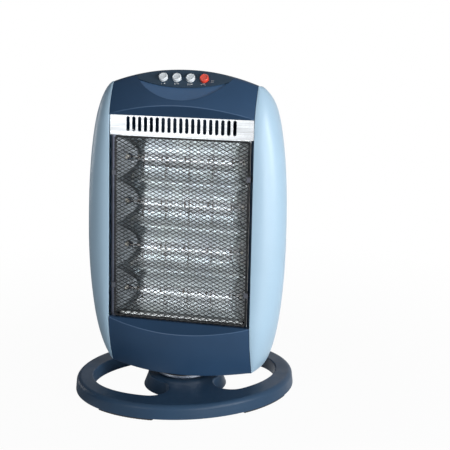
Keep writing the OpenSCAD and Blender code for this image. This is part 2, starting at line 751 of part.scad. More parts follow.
// Crescent section of a side panel at height z; skin insets it for the inner face
panel_x = seam_half + seam_gap / 2;
panel_points = 14;
panel_steps = 24;
function panel_arc(z, skin) = let (w = max(0.1, swell(z) - skin), y0 = seam_y(z) + skin,
    y1 = back_seam_y(z) - skin, ym = side_y(z))
    [for (i = [0 : panel_points]) let (u = 180 * i / panel_points,
        y = ym - cos(u) * (u < 90 ? ym - y0 : y1 - ym))
        [panel_x + w * sin(u), y, z - fall(y, z)]];
function panel_z(i) = let (a = mix(-86, 86, i, panel_steps))
    wide_z + sin(a) * (a < 0 ? wide_z - head_bot_z : head_top_z - wide_z);

// Right hand panel: a hollow shell that swells from seam to seam, with screw tabs
module side_panel() {
    loft([for (i = [0 : panel_steps]) let (z = panel_z(i))
        concat(panel_arc(z, 0), reversed(panel_arc(z, wall)))], true);
    difference() {
        for (z = cover_screw_heights) {
            translate([cover_screw_x - 5.5, tab_y, z - tab_h / 2]) cube([16.5, tab_t, tab_h]);
            translate([panel_x + 0.2, tab_y, z - tab_h / 2])
                cube([6.8, tab_t + 2.4, tab_h]);
        }
        at_cover_screws(0) cylinder(h = cut_l, r = screw_r, $fn = 24);
    }
}

module right_side_panel() color("#a9c3d6") lean() side_panel();
module left_side_panel() color("#a9c3d6") lean() mirror([1, 0, 0]) side_panel();

// ---- Head: reflector and tubes ----

// Depth of the reflector at height z: a row of parabolas below the slotted strip
function trough_y(z) = let (k = (ridge_top_z - z) / tube_pitch, u = 2 * (k - floor(k)) - 1)
    strip_y + 1 + trough_depth * (1 - sq(u));
function trough_line(back) = [for (k = [0 : tube_n - 1], i = [0 : 12])
    let (z = ridge_top_z - (k + i / 12) * tube_pitch * 0.9999)
    [trough_y(z) + back, z]];
function sheet_line(back) = concat([[strip_y + back, win_top_z + strip_lap],
    [strip_y + back, ridge_top_z]], trough_line(back), [[strip_y + 1 + back, trough_bot_z],
    [strip_y + back, trough_bot_z - 2], [strip_y + back, win_bot_z - strip_lap]]);

// Space between the two slanted end plates
module between_ends(gap) translate([0, 0, win_bot_z - 20]) linear_extrude(win_top_z - win_bot_z + 40)
    polygon([for (s = [-1, 1], p = s < 0 ? [0, 1] : [1, 0])
        let (y = p > 0 ? strip_y + trough_depth + 8 : strip_y - 1)
        [s * (end_front_x - gap - (y - strip_y) * end_run / trough_depth), y]]);

// Polished sheet; its strip with the air slots runs from seam to seam above the end plates
module reflector() color("#d9dcdf") lean() difference() {
    union() {
        intersection() {
            side_prism(concat(sheet_line(0), reversed(sheet_line(sheet_t))), seam_half);
            between_ends(0.3);
        }
        translate([-strip_half_w, strip_y, end_top_z + 0.3])
            cube([2 * strip_half_w, sheet_t, win_top_z + strip_lap - end_top_z - 0.3]);
    }
    for (i = [0 : slot_n - 1])
        translate([(i - (slot_n - 1) / 2) * slot_pitch, 0, win_top_z - slot_drop])
            slot_y(slot_w, slot_h, strip_y - 1, strip_y + 3);
}

// Right hand end plate: slanted wall, front flange, and a hole for each tube
module end_plate() difference() {
    union() {
        difference() {
            between_ends(-end_t);
            between_ends(0);
            translate([-head_cut_l, -cut_l, 0]) cube([head_cut_l, 2 * cut_l, head_cut_l]);
            translate([0, strip_y + trough_depth + sheet_t + 2, 0])
                cube([seam_half, cut_l, head_cut_l]);
            translate([0, strip_y - cut_l, 0]) cube([seam_half, cut_l, head_cut_l]);
            translate([0, -cut_l, 0]) cube([seam_half, 2 * cut_l, win_bot_z - strip_lap]);
            translate([0, -cut_l, end_top_z]) cube([seam_half, 2 * cut_l, cut_l]);
        }
        translate([end_front_x, strip_y, win_bot_z - strip_lap])
            cube([seam_half - end_front_x - 0.2, end_t, end_top_z - win_bot_z + strip_lap]);
    }
    for (i = [1 : tube_n]) translate([cap_x - cut_l / 2, tube_y, tube_z(i)]) rotate([0, 90, 0])
        cylinder(h = cut_l, r = tube_r + 0.6, $fn = 32);
}

module reflector_end_right() color("#b4b9be") lean() end_plate();
module reflector_end_left() color("#b4b9be") lean() mirror([1, 0, 0]) end_plate();

// Height of the tube in trough i, counted from the top
function tube_z(i) = ridge_top_z - (i - 0.5) * tube_pitch;

// Clear quartz tube
module halogen_tube(i) color("#eef2f4", 0.5) lean() translate([-cap_x - 5, tube_y, tube_z(i)])
    rotate([0, 90, 0]) difference() {
        cylinder(h = 2 * cap_x + 10, r = tube_r);
        translate([0, 0, -1]) cylinder(h = 2 * cap_x + 12, r = tube_r - tube_wall);
    }

module halogen_tube_1() halogen_tube(1);
module halogen_tube_2() halogen_tube(2);
module halogen_tube_3() halogen_tube(3);
module halogen_tube_4() halogen_tube(4);

// Tungsten filaments, held by the caps
module filaments() color("#6d6a66") lean() for (i = [1 : tube_n])
    translate([-cap_x - 5.4, tube_y, tube_z(i)]) rotate([0, 90, 0])
        cylinder(h = 2 * cap_x + 10.8, r = 0.9, $fn = 16);

// Ceramic caps on the ends of the tubes
module ceramic_caps() color("#efece4") lean() for (i = [1 : tube_n], s = [0, 1]) mirror([s, 0, 0])
    translate([cap_x, tube_y, tube_z(i)]) difference() {
        translate([0, -cap_w / 2, -cap_w / 2]) cube([cap_l, cap_w, cap_w]);
        translate([-1, 0, 0]) rotate([0, 90, 0]) cylinder(h = 6.5, r = tube_r + 0.05);
    }

// Upright strips that carry the caps
module tube_holders() color("#a9afb5") lean() for (s = [0, 1]) mirror([s, 0, 0]) {
    translate([holder_x, strip_y + end_t + 0.3, trough_bot_z - 6])
        cube([holder_t, holder_d, ridge_top_z - trough_bot_z + 12]);
    for (z = [trough_bot_z - 6, ridge_top_z]) translate([end_front_x - 12, strip_y + 24, z])
        cube([holder_x - end_front_x + 13, 10, 6]);
}

// ---- Head: guard ----

// Diamond mesh in one sheet with a plain border
module guard_mesh() color("#2b2d30") lean() {
    z0 = win_bot_z + guard_gap;
    z1 = win_top_z - guard_gap;
    border = 2 * frame_r;
    cols = floor((2 * guard_half_w - border) / mesh_w);
    rows = floor((z1 - z0 - border) / mesh_h);
    k = 1 - strand_w / mesh_h;
    translate([0, mesh_y + mesh_t, (z0 + z1) / 2]) rotate([90, 0, 0]) linear_extrude(mesh_t)
        difference() {
            square([2 * guard_half_w, z1 - z0], center = true);
            for (i = [0 : 2 * cols - 2], j = [0 : 2 * rows - 2]) if ((i + j) % 2 == 0)
                translate([(i - cols + 1) * mesh_w / 2, (j - rows + 1) * mesh_h / 2])
                    polygon([for (a = [0 : 90 : 270])
                        [k * mesh_w / 2 * cos(a), k * mesh_h / 2 * sin(a)]]);
        }
}

// Rod frame behind the edge of the mesh
module guard_frame() color("#1d1f22") lean() {
    z0 = win_bot_z + guard_gap + frame_r;
    z1 = win_top_z - guard_gap - frame_r;
    x = guard_half_w - frame_r;
    for (s = [-1, 1]) translate([s * x, frame_y, z0]) cylinder(h = z1 - z0, r = frame_r, $fn = 24);
    for (z = [z0, z1]) translate([-x, frame_y, z]) rotate([0, 90, 0])
        cylinder(h = 2 * x, r = frame_r, $fn = 24);
    for (s = [-1, 1], z = [z0, z1]) translate([s * x, frame_y, z]) sphere(r = frame_r, $fn = 24);
}

// Sheet clips that hook the guard to the end plates
module guard_clips() color("#8d9298") lean() for (s = [0, 1], z = clip_heights) mirror([s, 0, 0]) {
    translate([guard_half_w + 0.3, mesh_y - 1.5, z - 4])
        cube([2.2, strip_y - mesh_y + 1.2, 8]);
    translate([guard_half_w - 4, mesh_y - 1.5, z - 4]) cube([6.5, 1.2, 8]);
}

// ---- Head: electrics ----

// Thermal cut-out with two blades, on the holder of the tubes
module thermal_cutout() color("#3a3a3c") lean()
    translate([holder_x + holder_t + 0.1, tube_y, ridge_top_z - 2 * tube_pitch]) rotate([0, 90, 0]) {
        cylinder(h = 2, r = 8);
        cylinder(h = 8, r = 6.5);
        for (s = [-1, 1]) translate([-3, 3 * s - 0.4, 8]) cube([6, 0.8, 7]);
    }

// Terminal block on the chassis plate
module terminal_block() color("#e3dfd2")
    translate([chassis_l / 2 - 46, -8, chassis_z + chassis_t]) difference() {
    cube([36, 16, 11]);
    for (i = [0 : 3]) translate([4.5 + 9 * i, 8, 4]) cylinder(h = 10, r = 2.4, $fn = 24);
}

// Bushing where the supply cord enters the back cover
module cord_inlet() color("#1c1f22") lean() translate([inlet_x, inlet_y - 10, inlet_z])
    rotate([-90, 0, 0]) difference() {
        union() {
            cylinder(h = 10, r = 6.5);
            translate([0, 0, 10]) cylinder(h = 3, r = 10);
        }
        translate([0, 0, -1]) cylinder(h = 20, r = 4);
    }

base_shell();
base_cover();
base_feet();
base_screws();
neck_tube();
thrust_washer();
neck_clip();
slotted_arm();
tip_switch();
tip_plunger();
turntable_collar();
chassis_plate();
front_hood();
control_panel();
lower_front_cover();
rear_cover();
left_side_panel();
right_side_panel();
reflector();
reflector_end_left();
reflector_end_right();
halogen_tube_1();
halogen_tube_2();
halogen_tube_3();
halogen_tube_4();
filaments();
ceramic_caps();
tube_holders();
guard_mesh();
guard_frame();
guard_clips();
heat_button_1();
heat_button_2();
heat_button_3();
swing_button();
switch_bank();
motor_bracket();
swing_motor();
crank_arm();
thermal_cutout();
terminal_block();
cord_inlet();
cover_screws();
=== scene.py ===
import math

import bmesh
import bpy
import numpy as np
from mathutils import Matrix, Vector


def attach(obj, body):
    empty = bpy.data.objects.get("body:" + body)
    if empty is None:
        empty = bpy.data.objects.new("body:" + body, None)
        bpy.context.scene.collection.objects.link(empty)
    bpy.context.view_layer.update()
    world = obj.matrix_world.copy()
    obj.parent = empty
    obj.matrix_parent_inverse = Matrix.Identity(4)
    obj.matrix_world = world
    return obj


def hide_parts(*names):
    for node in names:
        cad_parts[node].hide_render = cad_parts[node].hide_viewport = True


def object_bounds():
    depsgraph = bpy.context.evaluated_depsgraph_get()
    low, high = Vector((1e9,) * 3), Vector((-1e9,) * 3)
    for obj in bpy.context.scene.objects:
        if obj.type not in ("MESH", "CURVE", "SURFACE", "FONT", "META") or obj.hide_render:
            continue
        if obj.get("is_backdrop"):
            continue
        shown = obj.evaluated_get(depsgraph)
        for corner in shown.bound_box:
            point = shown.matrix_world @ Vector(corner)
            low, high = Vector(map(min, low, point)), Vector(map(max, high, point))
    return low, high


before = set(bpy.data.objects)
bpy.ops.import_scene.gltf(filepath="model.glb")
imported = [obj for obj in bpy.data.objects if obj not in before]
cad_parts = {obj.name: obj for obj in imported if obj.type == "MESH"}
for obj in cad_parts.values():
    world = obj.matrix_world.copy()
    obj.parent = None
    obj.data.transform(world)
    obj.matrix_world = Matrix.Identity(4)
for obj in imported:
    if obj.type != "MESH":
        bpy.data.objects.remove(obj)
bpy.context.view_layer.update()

sin, cos, pi, sqrt, radians = math.sin, math.cos, math.pi, math.sqrt, math.radians

# Sizes are in millimetres and turns in radians, as in the solids. The head leans back about a line
# at LEAN_Z, the control face slopes up from a point of its lower edge, and the base stands turned.
LEAN, LEAN_Z = radians(4.6), 60
FACE_UP, FACE_Y, FACE_Z = radians(48), -51, 463
BASE_TURN = radians(26)
# Upper edge of the first trough, spacing and depth of the troughs, their half width in front
RIDGE, PITCH, DEPTH, END_X = 402.0, 70.0, 30.0, 107.5


def add_object(name, data):
    made = bpy.data.objects.new(name, data)
    bpy.context.scene.collection.objects.link(made)
    return made


def add_aimed(name, data, at, direction):
    """A camera or a lamp at a point in metres, facing in a direction."""
    made = add_object(name, data)
    made.location = at
    made.rotation_mode = "QUATERNION"
    made.rotation_quaternion = direction.to_track_quat("-Z", "Y")
    return made


# --------------------
# Camera: the photograph's angle, as a 90 mm lens on a 36 mm frame
# --------------------
yaw, pitch, turn = radians(2.168), radians(14.645), radians(17.4)
look = Matrix.Rotation(turn, 3, "Z") @ Vector(
    (sin(yaw) * cos(pitch), cos(yaw) * cos(pitch), -sin(pitch)))
camera = add_aimed("camera", bpy.data.cameras.new("camera"), (0.5084, -1.6222, 0.7091), look)
camera.data.lens = 90.15
camera.data.sensor_width = 36
camera.data.clip_start = 0.05
bpy.context.scene.camera = camera
bpy.context.scene.view_settings.view_transform = "Standard"

# --------------------
# Materials
# --------------------


def add_node(tree, kind, links=(), **values):
    """A new node with (socket, source) links and the values of other sockets."""
    node = tree.nodes.new(kind)
    for socket, source in links:
        tree.links.new(source, node.inputs[socket])
    for socket, value in values.items():
        node.inputs[socket.replace("_", " ")].default_value = value
    return node


def math_node(tree, operation, a, b=None):
    """Value of one arithmetic step; a and b are sockets or numbers."""
    node = tree.nodes.new("ShaderNodeMath")
    node.operation = operation
    for index, value in enumerate((a, b)):
        if isinstance(value, (int, float)):
            node.inputs[index].default_value = value
        elif value is not None:
            tree.links.new(value, node.inputs[index])
    return node.outputs[0]


class Nodes:
    """The node tree of a new material, or of a finished one for further work."""

    def __init__(self, mat):
        if isinstance(mat, str):
            mat = bpy.data.materials.new(mat)
            mat.use_nodes = True
        self.mat, self.tree = mat, mat.node_tree
        self.bsdf = self.tree.nodes["Principled BSDF"]
        self.coords = self.add("ShaderNodeTexCoord").outputs["Object"]

    def add(self, kind, links=(), **values):
        return add_node(self.tree, kind, links, **values)

    def math(self, operation, a, b=None):
        return math_node(self.tree, operation, a, b)

    def noise(self, scale, detail, stretch=(1, 1, 1), rough=0.5):
        mapped = self.add("ShaderNodeMapping", [("Vector", self.coords)], Scale=stretch)
        return self.add("ShaderNodeTexNoise", [("Vector", mapped.outputs[0])], Scale=scale,
                        Detail=detail, Roughness=rough).outputs["Fac"]

    def spread(self, source, low, high, start=0.3, end=0.7):
        return self.add("ShaderNodeMapRange", [("Value", source)], From_Min=start, From_Max=end,
                        To_Min=low, To_Max=high).outputs["Result"]

    def mix(self, factor, a, b, blend="MIX"):
        """Two colours mixed; the factor may be a number, and each colour a socket or a tuple."""
        node = self.tree.nodes.new("ShaderNodeMix")
        node.data_type = "RGBA"
        node.blend_type = blend
        if isinstance(factor, float):
            node.inputs["Factor"].default_value = factor
        else:
            self.tree.links.new(factor, node.inputs["Factor"])
        for index, colour in ((6, a), (7, b)):
            if isinstance(colour, tuple):
                node.inputs[index].default_value = (*colour, 1)
            else:
                self.tree.links.new(colour, node.inputs[index])
        return node.outputs[2]

    def bump(self, heights, distance, strength, after=None):
        links = [("Height", heights)] + ([("Normal", after)] if after else [])
        return self.add("ShaderNodeBump", links, Strength=strength,
                        Distance=distance).outputs["Normal"]

    def link(self, source, socket):
        self.tree.links.new(source, self.bsdf.inputs[socket])

    def base_colour(self):
        return self.bsdf.inputs["Base Color"].links[0].from_socket

    def set(self, **values):
        for key, value in values.items():
            socket = self.bsdf.inputs[key.replace("_", " ")]
            socket.default_value = (*value, 1) if isinstance(value, tuple) else value
        return self.mat


def shade(colour, k):
    """A colour made k times as bright."""
    return tuple(min(1.0, c * k) for c in colour)


def plastic(name, colour, rough, grain=1400, depth=0.00004, change=0.08, coat=0.0,
            gloss=0.5):
    """Moulded plastic: spark-eroded grain, cloudy gloss, faint mottling, light specks."""
    n = Nodes(name)
    broad = n.noise(14, 4)
    fine = n.noise(grain, 2)
    scuff = n.noise(60, 6, (1, 1, 0.25), 0.7)
    base = n.mix(n.spread(broad, 0, 1), shade(colour, 1 - change), shade(colour, 1 + change))
    specks = n.spread(fine, 0, 0.35, 0.55, 0.8)
    n.link(n.mix(specks, base, shade(colour, 1.6)), "Base Color")
    n.link(n.spread(scuff, rough - 0.06, rough + 0.08), "Roughness")
    n.link(n.bump(fine, depth, 0.6, n.bump(broad, 0.0006, 0.35)), "Normal")
    return n.set(Coat_Weight=coat, Coat_Roughness=0.22, IOR=1.5, Specular_IOR_Level=gloss)


def metal(name, colour, rough, scale, depth, grain=(1, 1, 1), wave=0.0, bands=None):
    """Sheet metal with drawn grain and, where asked for, a slightly wavy surface, and dark bands
    painted into its troughs as reflection, and darker along its foot."""
    n = Nodes(name)
    lines = n.noise(scale, 3, grain)
    cloud = n.noise(22, 4)
    n.link(n.mix(n.spread(cloud, 0, 1), shade(colour, 0.9), shade(colour, 1.05)), "Base Color")
    n.link(n.spread(lines, rough - 0.07, rough + 0.1), "Roughness")
    normal = n.bump(lines, depth, 0.5)
    if wave:
        normal = n.bump(n.noise(26, 2, (0.5, 1, 1.6)), wave, 1.0, normal)
    n.link(normal, "Normal")
    # Painted reflection: dark bands down each trough, and a darker foot
    if bands:
        drop = n.math("SUBTRACT", RIDGE, head_height(n))
        below = n.math("DIVIDE", drop, PITCH)
        above = n.math("LESS_THAN", below, 0)
        foot = n.math("GREATER_THAN", below, FOOT)
        veil(n, n.math("MAXIMUM", n.math("FRACT", below), above), bands)
        veil(n, foot, [(0.0, 1.0), (1.0, 0.3)])
    return n.set(Metallic=1.0)


def head_height(n):
    """Height along the leaning head, in millimetres."""
    split = n.add("ShaderNodeSeparateXYZ", [("Vector", n.coords)])
    up = n.math("MULTIPLY", split.outputs["Z"], 1000 * cos(LEAN))
    along = n.math("MULTIPLY", split.outputs["Y"], 1000 * sin(LEAN))
    both = n.math("ADD", up, along)
    return n.math("ADD", both, LEAN_Z - LEAN_Z * cos(LEAN))


def veil(n, factor, stops):
    """Base colour multiplied by a grey that follows the factor through (place, grey) stops."""
    ramp = n.add("ShaderNodeValToRGB", [("Fac", factor)])
    ramp.color_ramp.interpolation = "EASE"
    dots = ramp.color_ramp.elements
    while len(dots) < len(stops):
        dots.new(0.5)
    for dot, (place, grey) in zip(dots, stops):
        dot.position = place
        dot.color = (grey, grey, grey, 1)
    n.link(n.mix(1.0, n.base_colour(), ramp.outputs["Color"], "MULTIPLY"), "Base Color")


def rubbery(name, colour):
    """Rubber: matt, with a fine grain."""
    n = Nodes(name)
    fine = n.noise(900, 4)
    n.link(n.mix(n.spread(fine, 0, 1), shade(colour, 0.7), shade(colour, 1.5)), "Base Color")
    n.link(n.spread(n.noise(40, 5), 0.7, 0.95), "Roughness")
    n.link(n.bump(fine, 0.00012, 0.8), "Normal")
    return n.set(IOR=1.5)


def clear_tube(name):
    """Quartz: clear, with faint draw lines along the tube."""
    n = Nodes(name)
    lines = n.noise(700, 2, (0.04, 1, 1))
    n.link(n.spread(lines, 0.02, 0.09), "Roughness")
    n.link(n.bump(lines, 0.00002, 0.5), "Normal")
    return n.set(Base_Color=(0.96, 0.97, 0.98), Transmission_Weight=1.0, IOR=1.45,
                 Specular_IOR_Level=0.08)


NAVY = (0.024, 0.060, 0.124)
SLATE = (0.023, 0.055, 0.105)
BLUE = (0.385, 0.55, 0.69)
navy = plastic("navy_plastic", NAVY, 0.42, gloss=0.22)
# A lighter copy of the navy for the recess floor: painted light
scoop_painted_light = plastic("navy_plastic_scoop", shade(NAVY, 1.8), 0.44, 900, 0.0001, gloss=0.5)
# Darker and lighter copies of the navy: painted shade on the chins, painted highlight along their
# creases
chin_painted_shade = plastic("navy_plastic_chin", shade(NAVY, 0.85), 0.46, gloss=0.14)
crease_painted_highlight = plastic("navy_plastic_edge", shade(NAVY, 1.45), 0.36, gloss=0.5)
slate = plastic("slate_plastic", SLATE, 0.40, 1100, 0.00005, gloss=0.2)
glint = metal("collar_rim", (0.55, 0.60, 0.68), 0.3, 600, 0.00002)
dark = plastic("charcoal_plastic", (0.033, 0.060, 0.094), 0.5, 1800, 0.00003, gloss=0.2)
blue = plastic("blue_lacquer", BLUE, 0.42, 2200, 0.000015, 0.025, coat=0.12)
cap_grey = plastic("button_grey", (0.82, 0.88, 0.92), 0.32, 1600, 0.00002, 0.03, coat=0.2)
cap_red = plastic("button_red", (0.88, 0.075, 0.04), 0.3, 1600, 0.00002, 0.06, coat=0.35)
nylon = plastic("nylon", (0.75, 0.73, 0.66), 0.5)
block = plastic("block_plastic", (0.72, 0.69, 0.58), 0.45)
black = plastic("black_plastic", (0.02, 0.02, 0.022), 0.5)
print_white = plastic("print_white", (0.75, 0.77, 0.78), 0.6, 2500, 0.00001)
rubber = rubbery("rubber", (0.015, 0.016, 0.018))
# Painted reflection: dark bands down one trough, as places and how bright the metal stays there.
# The foot of the sheet, darker too, begins FOOT troughs below the first one's upper edge.
FOOT = 3.96
PAINTED_REFLECTION_BANDS = [(0.0, 1.0), (0.08, 1.0), (0.17, 0.76), (0.26, 0.8), (0.36, 1.0), (0.5, 1.0), (0.66, 1.0),
         (0.76, 0.9), (0.85, 0.72), (0.93, 0.72), (1.0, 1.0)]
DRAWN, ROLLED = (0.05, 1, 1), (1, 1, 0.05)
polished = metal("polished_sheet", (0.90, 0.96, 1.0), 0.17, 260, 0.00003, DRAWN, 0.0012, PAINTED_REFLECTION_BANDS)
# A darker copy of the sheet's polish for the flat strip: painted shade that holds its brightness
# down
strip_painted_shade = metal("polished_strip", (0.36, 0.375, 0.39), 0.24, 260, 0.00001, DRAWN)
# Painted shade and light: the left end plate is a darker copy of the end metal, the right a
# lighter one
end_shaded_metal = metal("end_sheet", (0.17, 0.19, 0.205), 0.34, 260, 0.00004, ROLLED, 0.0008)
end_lit_metal = metal("end_sheet_bright", (0.95, 0.97, 0.98), 0.45, 260, 0.00004, ROLLED, 0.0008)
# Painted shadow on the flanges: outside its wall the right plate's flange is painted dark as
# shadow, and the left's a lavender grey; FLANGE_X is in metres
FLANGE_X = (0.1082, 0.1086)
for made, flange in ((end_shaded_metal, (0.13, 0.14, 0.18)), (end_lit_metal, (0.012, 0.02, 0.035))):
    n = Nodes(made)
    split = n.add("ShaderNodeSeparateXYZ", [("Vector", n.coords)])
    outside = n.spread(n.math("ABSOLUTE", split.outputs["X"]), 0, 1, *FLANGE_X)
    n.link(n.mix(outside, n.base_colour(), flange), "Base Color")
clip_metal = metal("clip_sheet", (0.075, 0.08, 0.095), 0.4, 500, 0.00003)
steel = metal("zinc_steel", (0.62, 0.63, 0.65), 0.32, 500, 0.00003)
screw_metal = metal("screw_steel", (0.55, 0.55, 0.57), 0.28, 900, 0.00003)
filament = metal("tungsten", (0.08, 0.058, 0.04), 0.5, 2500, 0.00002)
ceramic = plastic("ceramic", (0.80, 0.77, 0.69), 0.55, 700, 0.00008)
quartz = clear_tube("quartz")


def plated(name, sooty, bright, rough, metallic, soil):
    """Blackened wire with bright worn places."""
    n = Nodes(name)
    rub = n.noise(1500, 2)
    n.link(n.spread(rub, rough - 0.06, rough + 0.06), "Roughness")
    n.link(n.bump(rub, 0.00002, 0.6), "Normal")
    clean = n.spread(n.noise(30, 3), 0, soil)
    n.link(n.mix(clean, sooty, bright), "Base Color")
    n.link(n.spread(clean, metallic, 1.0, 0, 1), "Metallic")
    return n.set(IOR=1.5, Specular_IOR_Level=0.25)


wire = plated("guard_wire", (0.006, 0.007, 0.009), (0.3, 0.3, 0.3), 0.4, 0.0, 0.06)
rod_wire = plated("guard_rod_wire", (0.012, 0.014, 0.018), (0.5, 0.5, 0.5), 0.3, 0.1, 0.1)

# --------------------
# Mesh helpers
# --------------------


def upright(p):
    """The frame of the collar, which neither leans nor stands turned."""
    return p


def lean(p):
    """From the upright head to the leaning head."""
    x, y, z = p[0], p[1], p[2] - LEAN_Z
    return x, y * cos(LEAN) + z * sin(LEAN), LEAN_Z - y * sin(LEAN) + z * cos(LEAN)


def unleaned(p):
    """A point of the leaning head, in metres, back in the upright head in millimetres."""
    y, z = 1000 * p[1], 1000 * p[2] - LEAN_Z
    return 1000 * p[0], y * cos(LEAN) - z * sin(LEAN), LEAN_Z + y * sin(LEAN) + z * cos(LEAN)


def turned(p):
    """From the base's own frame to the turned base."""
    x, y, z = p
    return x * cos(BASE_TURN) - y * sin(BASE_TURN), x * sin(BASE_TURN) + y * cos(BASE_TURN), z


def face_lean(p):
    """From the control face's frame to the leaning head."""
    x, y, z = p
    return lean((x, FACE_Y + y * cos(FACE_UP) - z * sin(FACE_UP),
                 FACE_Z + y * sin(FACE_UP) + z * cos(FACE_UP)))


def mesh_object(name, verts, faces, material, place=upright):
    mesh = bpy.data.meshes.new(name)
    mesh.from_pydata([tuple(c * 0.001 for c in place(v)) for v in verts], [], faces)
    mesh.validate()
    made = add_object(name, mesh)
    if material is not None:
        mesh.materials.append(material)
    b = bmesh.new()
    b.from_mesh(mesh)
    bmesh.ops.recalc_face_normals(b, faces=b.faces)
    b.to_mesh(mesh)
    b.free()
    return made


def circle(n):
    """Angles of n even steps round a circle."""
    return [2 * pi * k / n for k in range(n)]


def span(a, b, n):
    """Even steps from a to b, both included."""
    return [a + (b - a) * i / n for i in range(n + 1)]


def loft(rings, closed=True, caps=True):
    """Faces through rings of equal length, with a face over each end."""
    n, m = len(rings[0]), len(rings)
    verts = [p for r in rings for p in r]
    faces = []
    for i in range(m - 1):
        for j in range(n if closed else n - 1):
            k = (j + 1) % n
            faces.append((i * n + j, i * n + k, (i + 1) * n + k, (i + 1) * n + j))
    if caps:
        faces.append(tuple(range(n - 1, -1, -1)))
        faces.append(tuple((m - 1) * n + j for j in range(n)))
    return verts, faces


def lathe(profile, steps=96, at=(0, 0), caps=True):
    """Turned about a line along Z through (r, z) points, flat at both ends or a closed loop."""
    return loft([[(at[0] + r * cos(a), at[1] + r * sin(a), z) for a in circle(steps)]
                 for r, z in profile], caps=caps)


def y_lathe(profile, at):
    """Turned about a line along Y; at is a point in x and z."""
    verts, faces = lathe(profile, 40)
    return [(at[0] + x, z, at[1] + y) for x, y, z in verts], faces


def prism_y(outline, at, y0, y1):
    return loft([[(at[0] + x, y, at[1] + z) for x, z in outline] for y in (y0, y1)])


def slot_ring(w, h, steps=8):
    """Outline of a level slot with round ends."""
    r = h / 2
    return [(s * (w / 2 - r) + r * cos(start + pi * k / steps), r * sin(start + pi * k / steps))
            for s, start in ((1, -pi / 2), (-1, pi / 2)) for k in range(steps + 1)]


def join(*parts):
    """Vertices and faces of several parts in one."""
    verts, faces = [], []
    for v, f in parts:
        k = len(verts)
        verts += v
        faces += [tuple(i + k for i in face) for face in f]
    return verts, faces


def box_part(low, high):
    (a, b, c), (d, e, f) = low, high
    return [(x, y, z) for x in (a, d) for y in (b, e) for z in (c, f)], [
        (0, 1, 3, 2), (4, 6, 7, 5), (0, 4, 5, 1), (2, 3, 7, 6), (0, 2, 6, 4), (1, 5, 7, 3)]


def fillet(points, radii, steps=5):
    """Polyline with its inner corners rounded; each corner gives steps + 1 points."""
    out = [points[0]]
    for i in range(1, len(points) - 1):
        r = radii[i]
        p, q, s = (np.array(points[k], float) for k in (i - 1, i, i + 1))
        if not r:
            out.append(tuple(q))
            continue
        a, b = p - q, s - q
        la, lb = np.linalg.norm(a), np.linalg.norm(b)
        a, b = a / la, b / lb
        half = math.acos(max(-1, min(1, float(a @ b)))) / 2
        t = min(r / max(math.tan(half), 1e-6), 0.48 * la, 0.48 * lb)
        start, end = q + a * t, q + b * t
        for u in span(0, 1, steps):
            out.append(tuple((1 - u) ** 2 * start + 2 * u * (1 - u) * q + u * u * end))
    out.append(points[-1])
    return out


def boolean(target, other, operation):
    """Cuts another object from the target, or joins it to it, and uses that object up."""
    mod = target.modifiers.new("cut", "BOOLEAN")
    mod.operation = operation
    mod.object = other
    mod.solver = "MANIFOLD"
    bpy.context.view_layer.update()
    made = bpy.data.meshes.new_from_object(
        target.evaluated_get(bpy.context.evaluated_depsgraph_get()))
    target.modifiers.clear()
    target.data = made
    bpy.data.objects.remove(other)


def cut(target, part, place=upright):
    boolean(target, mesh_object("cutter", *part, None, place), "DIFFERENCE")


def round_edges(obj, width):
    """Fine rounded edges, of a width in millimetres."""
    mod = obj.modifiers.new("edges", "BEVEL")
    mod.width = width * 0.001
    mod.segments = 2
    mod.limit_method = "ANGLE"
    mod.angle_limit = radians(40)


def smooth(obj, angle, weighted=True, extra_sharp=None):
    """Smooth shading that keeps edges sharper than an angle, and those that extra_sharp picks."""
    b = bmesh.new()
    b.from_mesh(obj.data)
    bmesh.ops.remove_doubles(b, verts=b.verts, dist=1e-6)
    for f in b.faces:
        f.smooth = True
    for e in b.edges:
        inner = len(e.link_faces) == 2
        e.smooth = not (inner and e.calc_face_angle(0) > radians(angle))
        if extra_sharp is not None and inner and extra_sharp(e):
            e.smooth = False
    b.to_mesh(obj.data)
    b.free()
    if weighted:
        weigh(obj)


def weigh(obj):
    """Normals that follow the larger faces."""
    mod = obj.modifiers.new("normals", "WEIGHTED_NORMAL")
    mod.keep_sharp = True
    mod.weight = 80


def smooth_all(obj):
    for f in obj.data.polygons:
        f.use_smooth = True


def dress(obj, *materials):
    """New materials in place of the ones there."""
    obj.data.materials.clear()
    for material in materials:
        obj.data.materials.append(material)


def piece(obj, body, slot, *nodes):
    """The piece's body and the CAD nodes that it stands for; its slot is not used."""
    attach(obj, body)
    if nodes:
        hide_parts(*nodes)


# --------------------
# Forms of the head, as in the solids
# --------------------
GUARD_Y, BACK_Y, HALF, PANEL_X = 42, 42, 114.8, 115.2
TOP_Z, LOW_Z, WIDE_Z, WIN_LOW, WIN_TOP = 484, 37, 250, 114, 434
RIM_Y, STRIP_Y, WALL = -30.9, -30.6, 2.6
# Radius of the upper and the lower arc of each seam, with the height where the arc begins
FRONT_ARCS, BACK_ARCS = ((120, 415), (185, 125)), ((75, 440), (170, 125))
# Bulge of the hood, the lower cover and the rear cover, and depth of the two crescents
HOOD_BULGE, LOWER_BULGE, REAR_BULGE, HOOD_CRESCENT, LOWER_CRESCENT = 19, 15, 14, 17, 15
# Radii of the crown and of the corner at the foot, and those along the edge of the window
CROWN, HEEL, EDGE_RADII = 4, 7, [0, 1.0, 2.2, 0]
# Where the front covers end and the rear cover begins, at the top and at the foot
TOP_JOINT, LOW_JOINT = (1.8, 2.2), (21.8, 22.2)
# Widest line of the side panels, its shift back at the foot, and how far they swell
SIDE_Y, SIDE_SHIFT, SWELL = -6, 18, 45
# Half width of the bulge, radius of the top in the front view, and its fall towards the back
BOW_X, TOP_R, FALL, FALL_Y, FALL_Z = 115, 330, 0.36, -12, 430
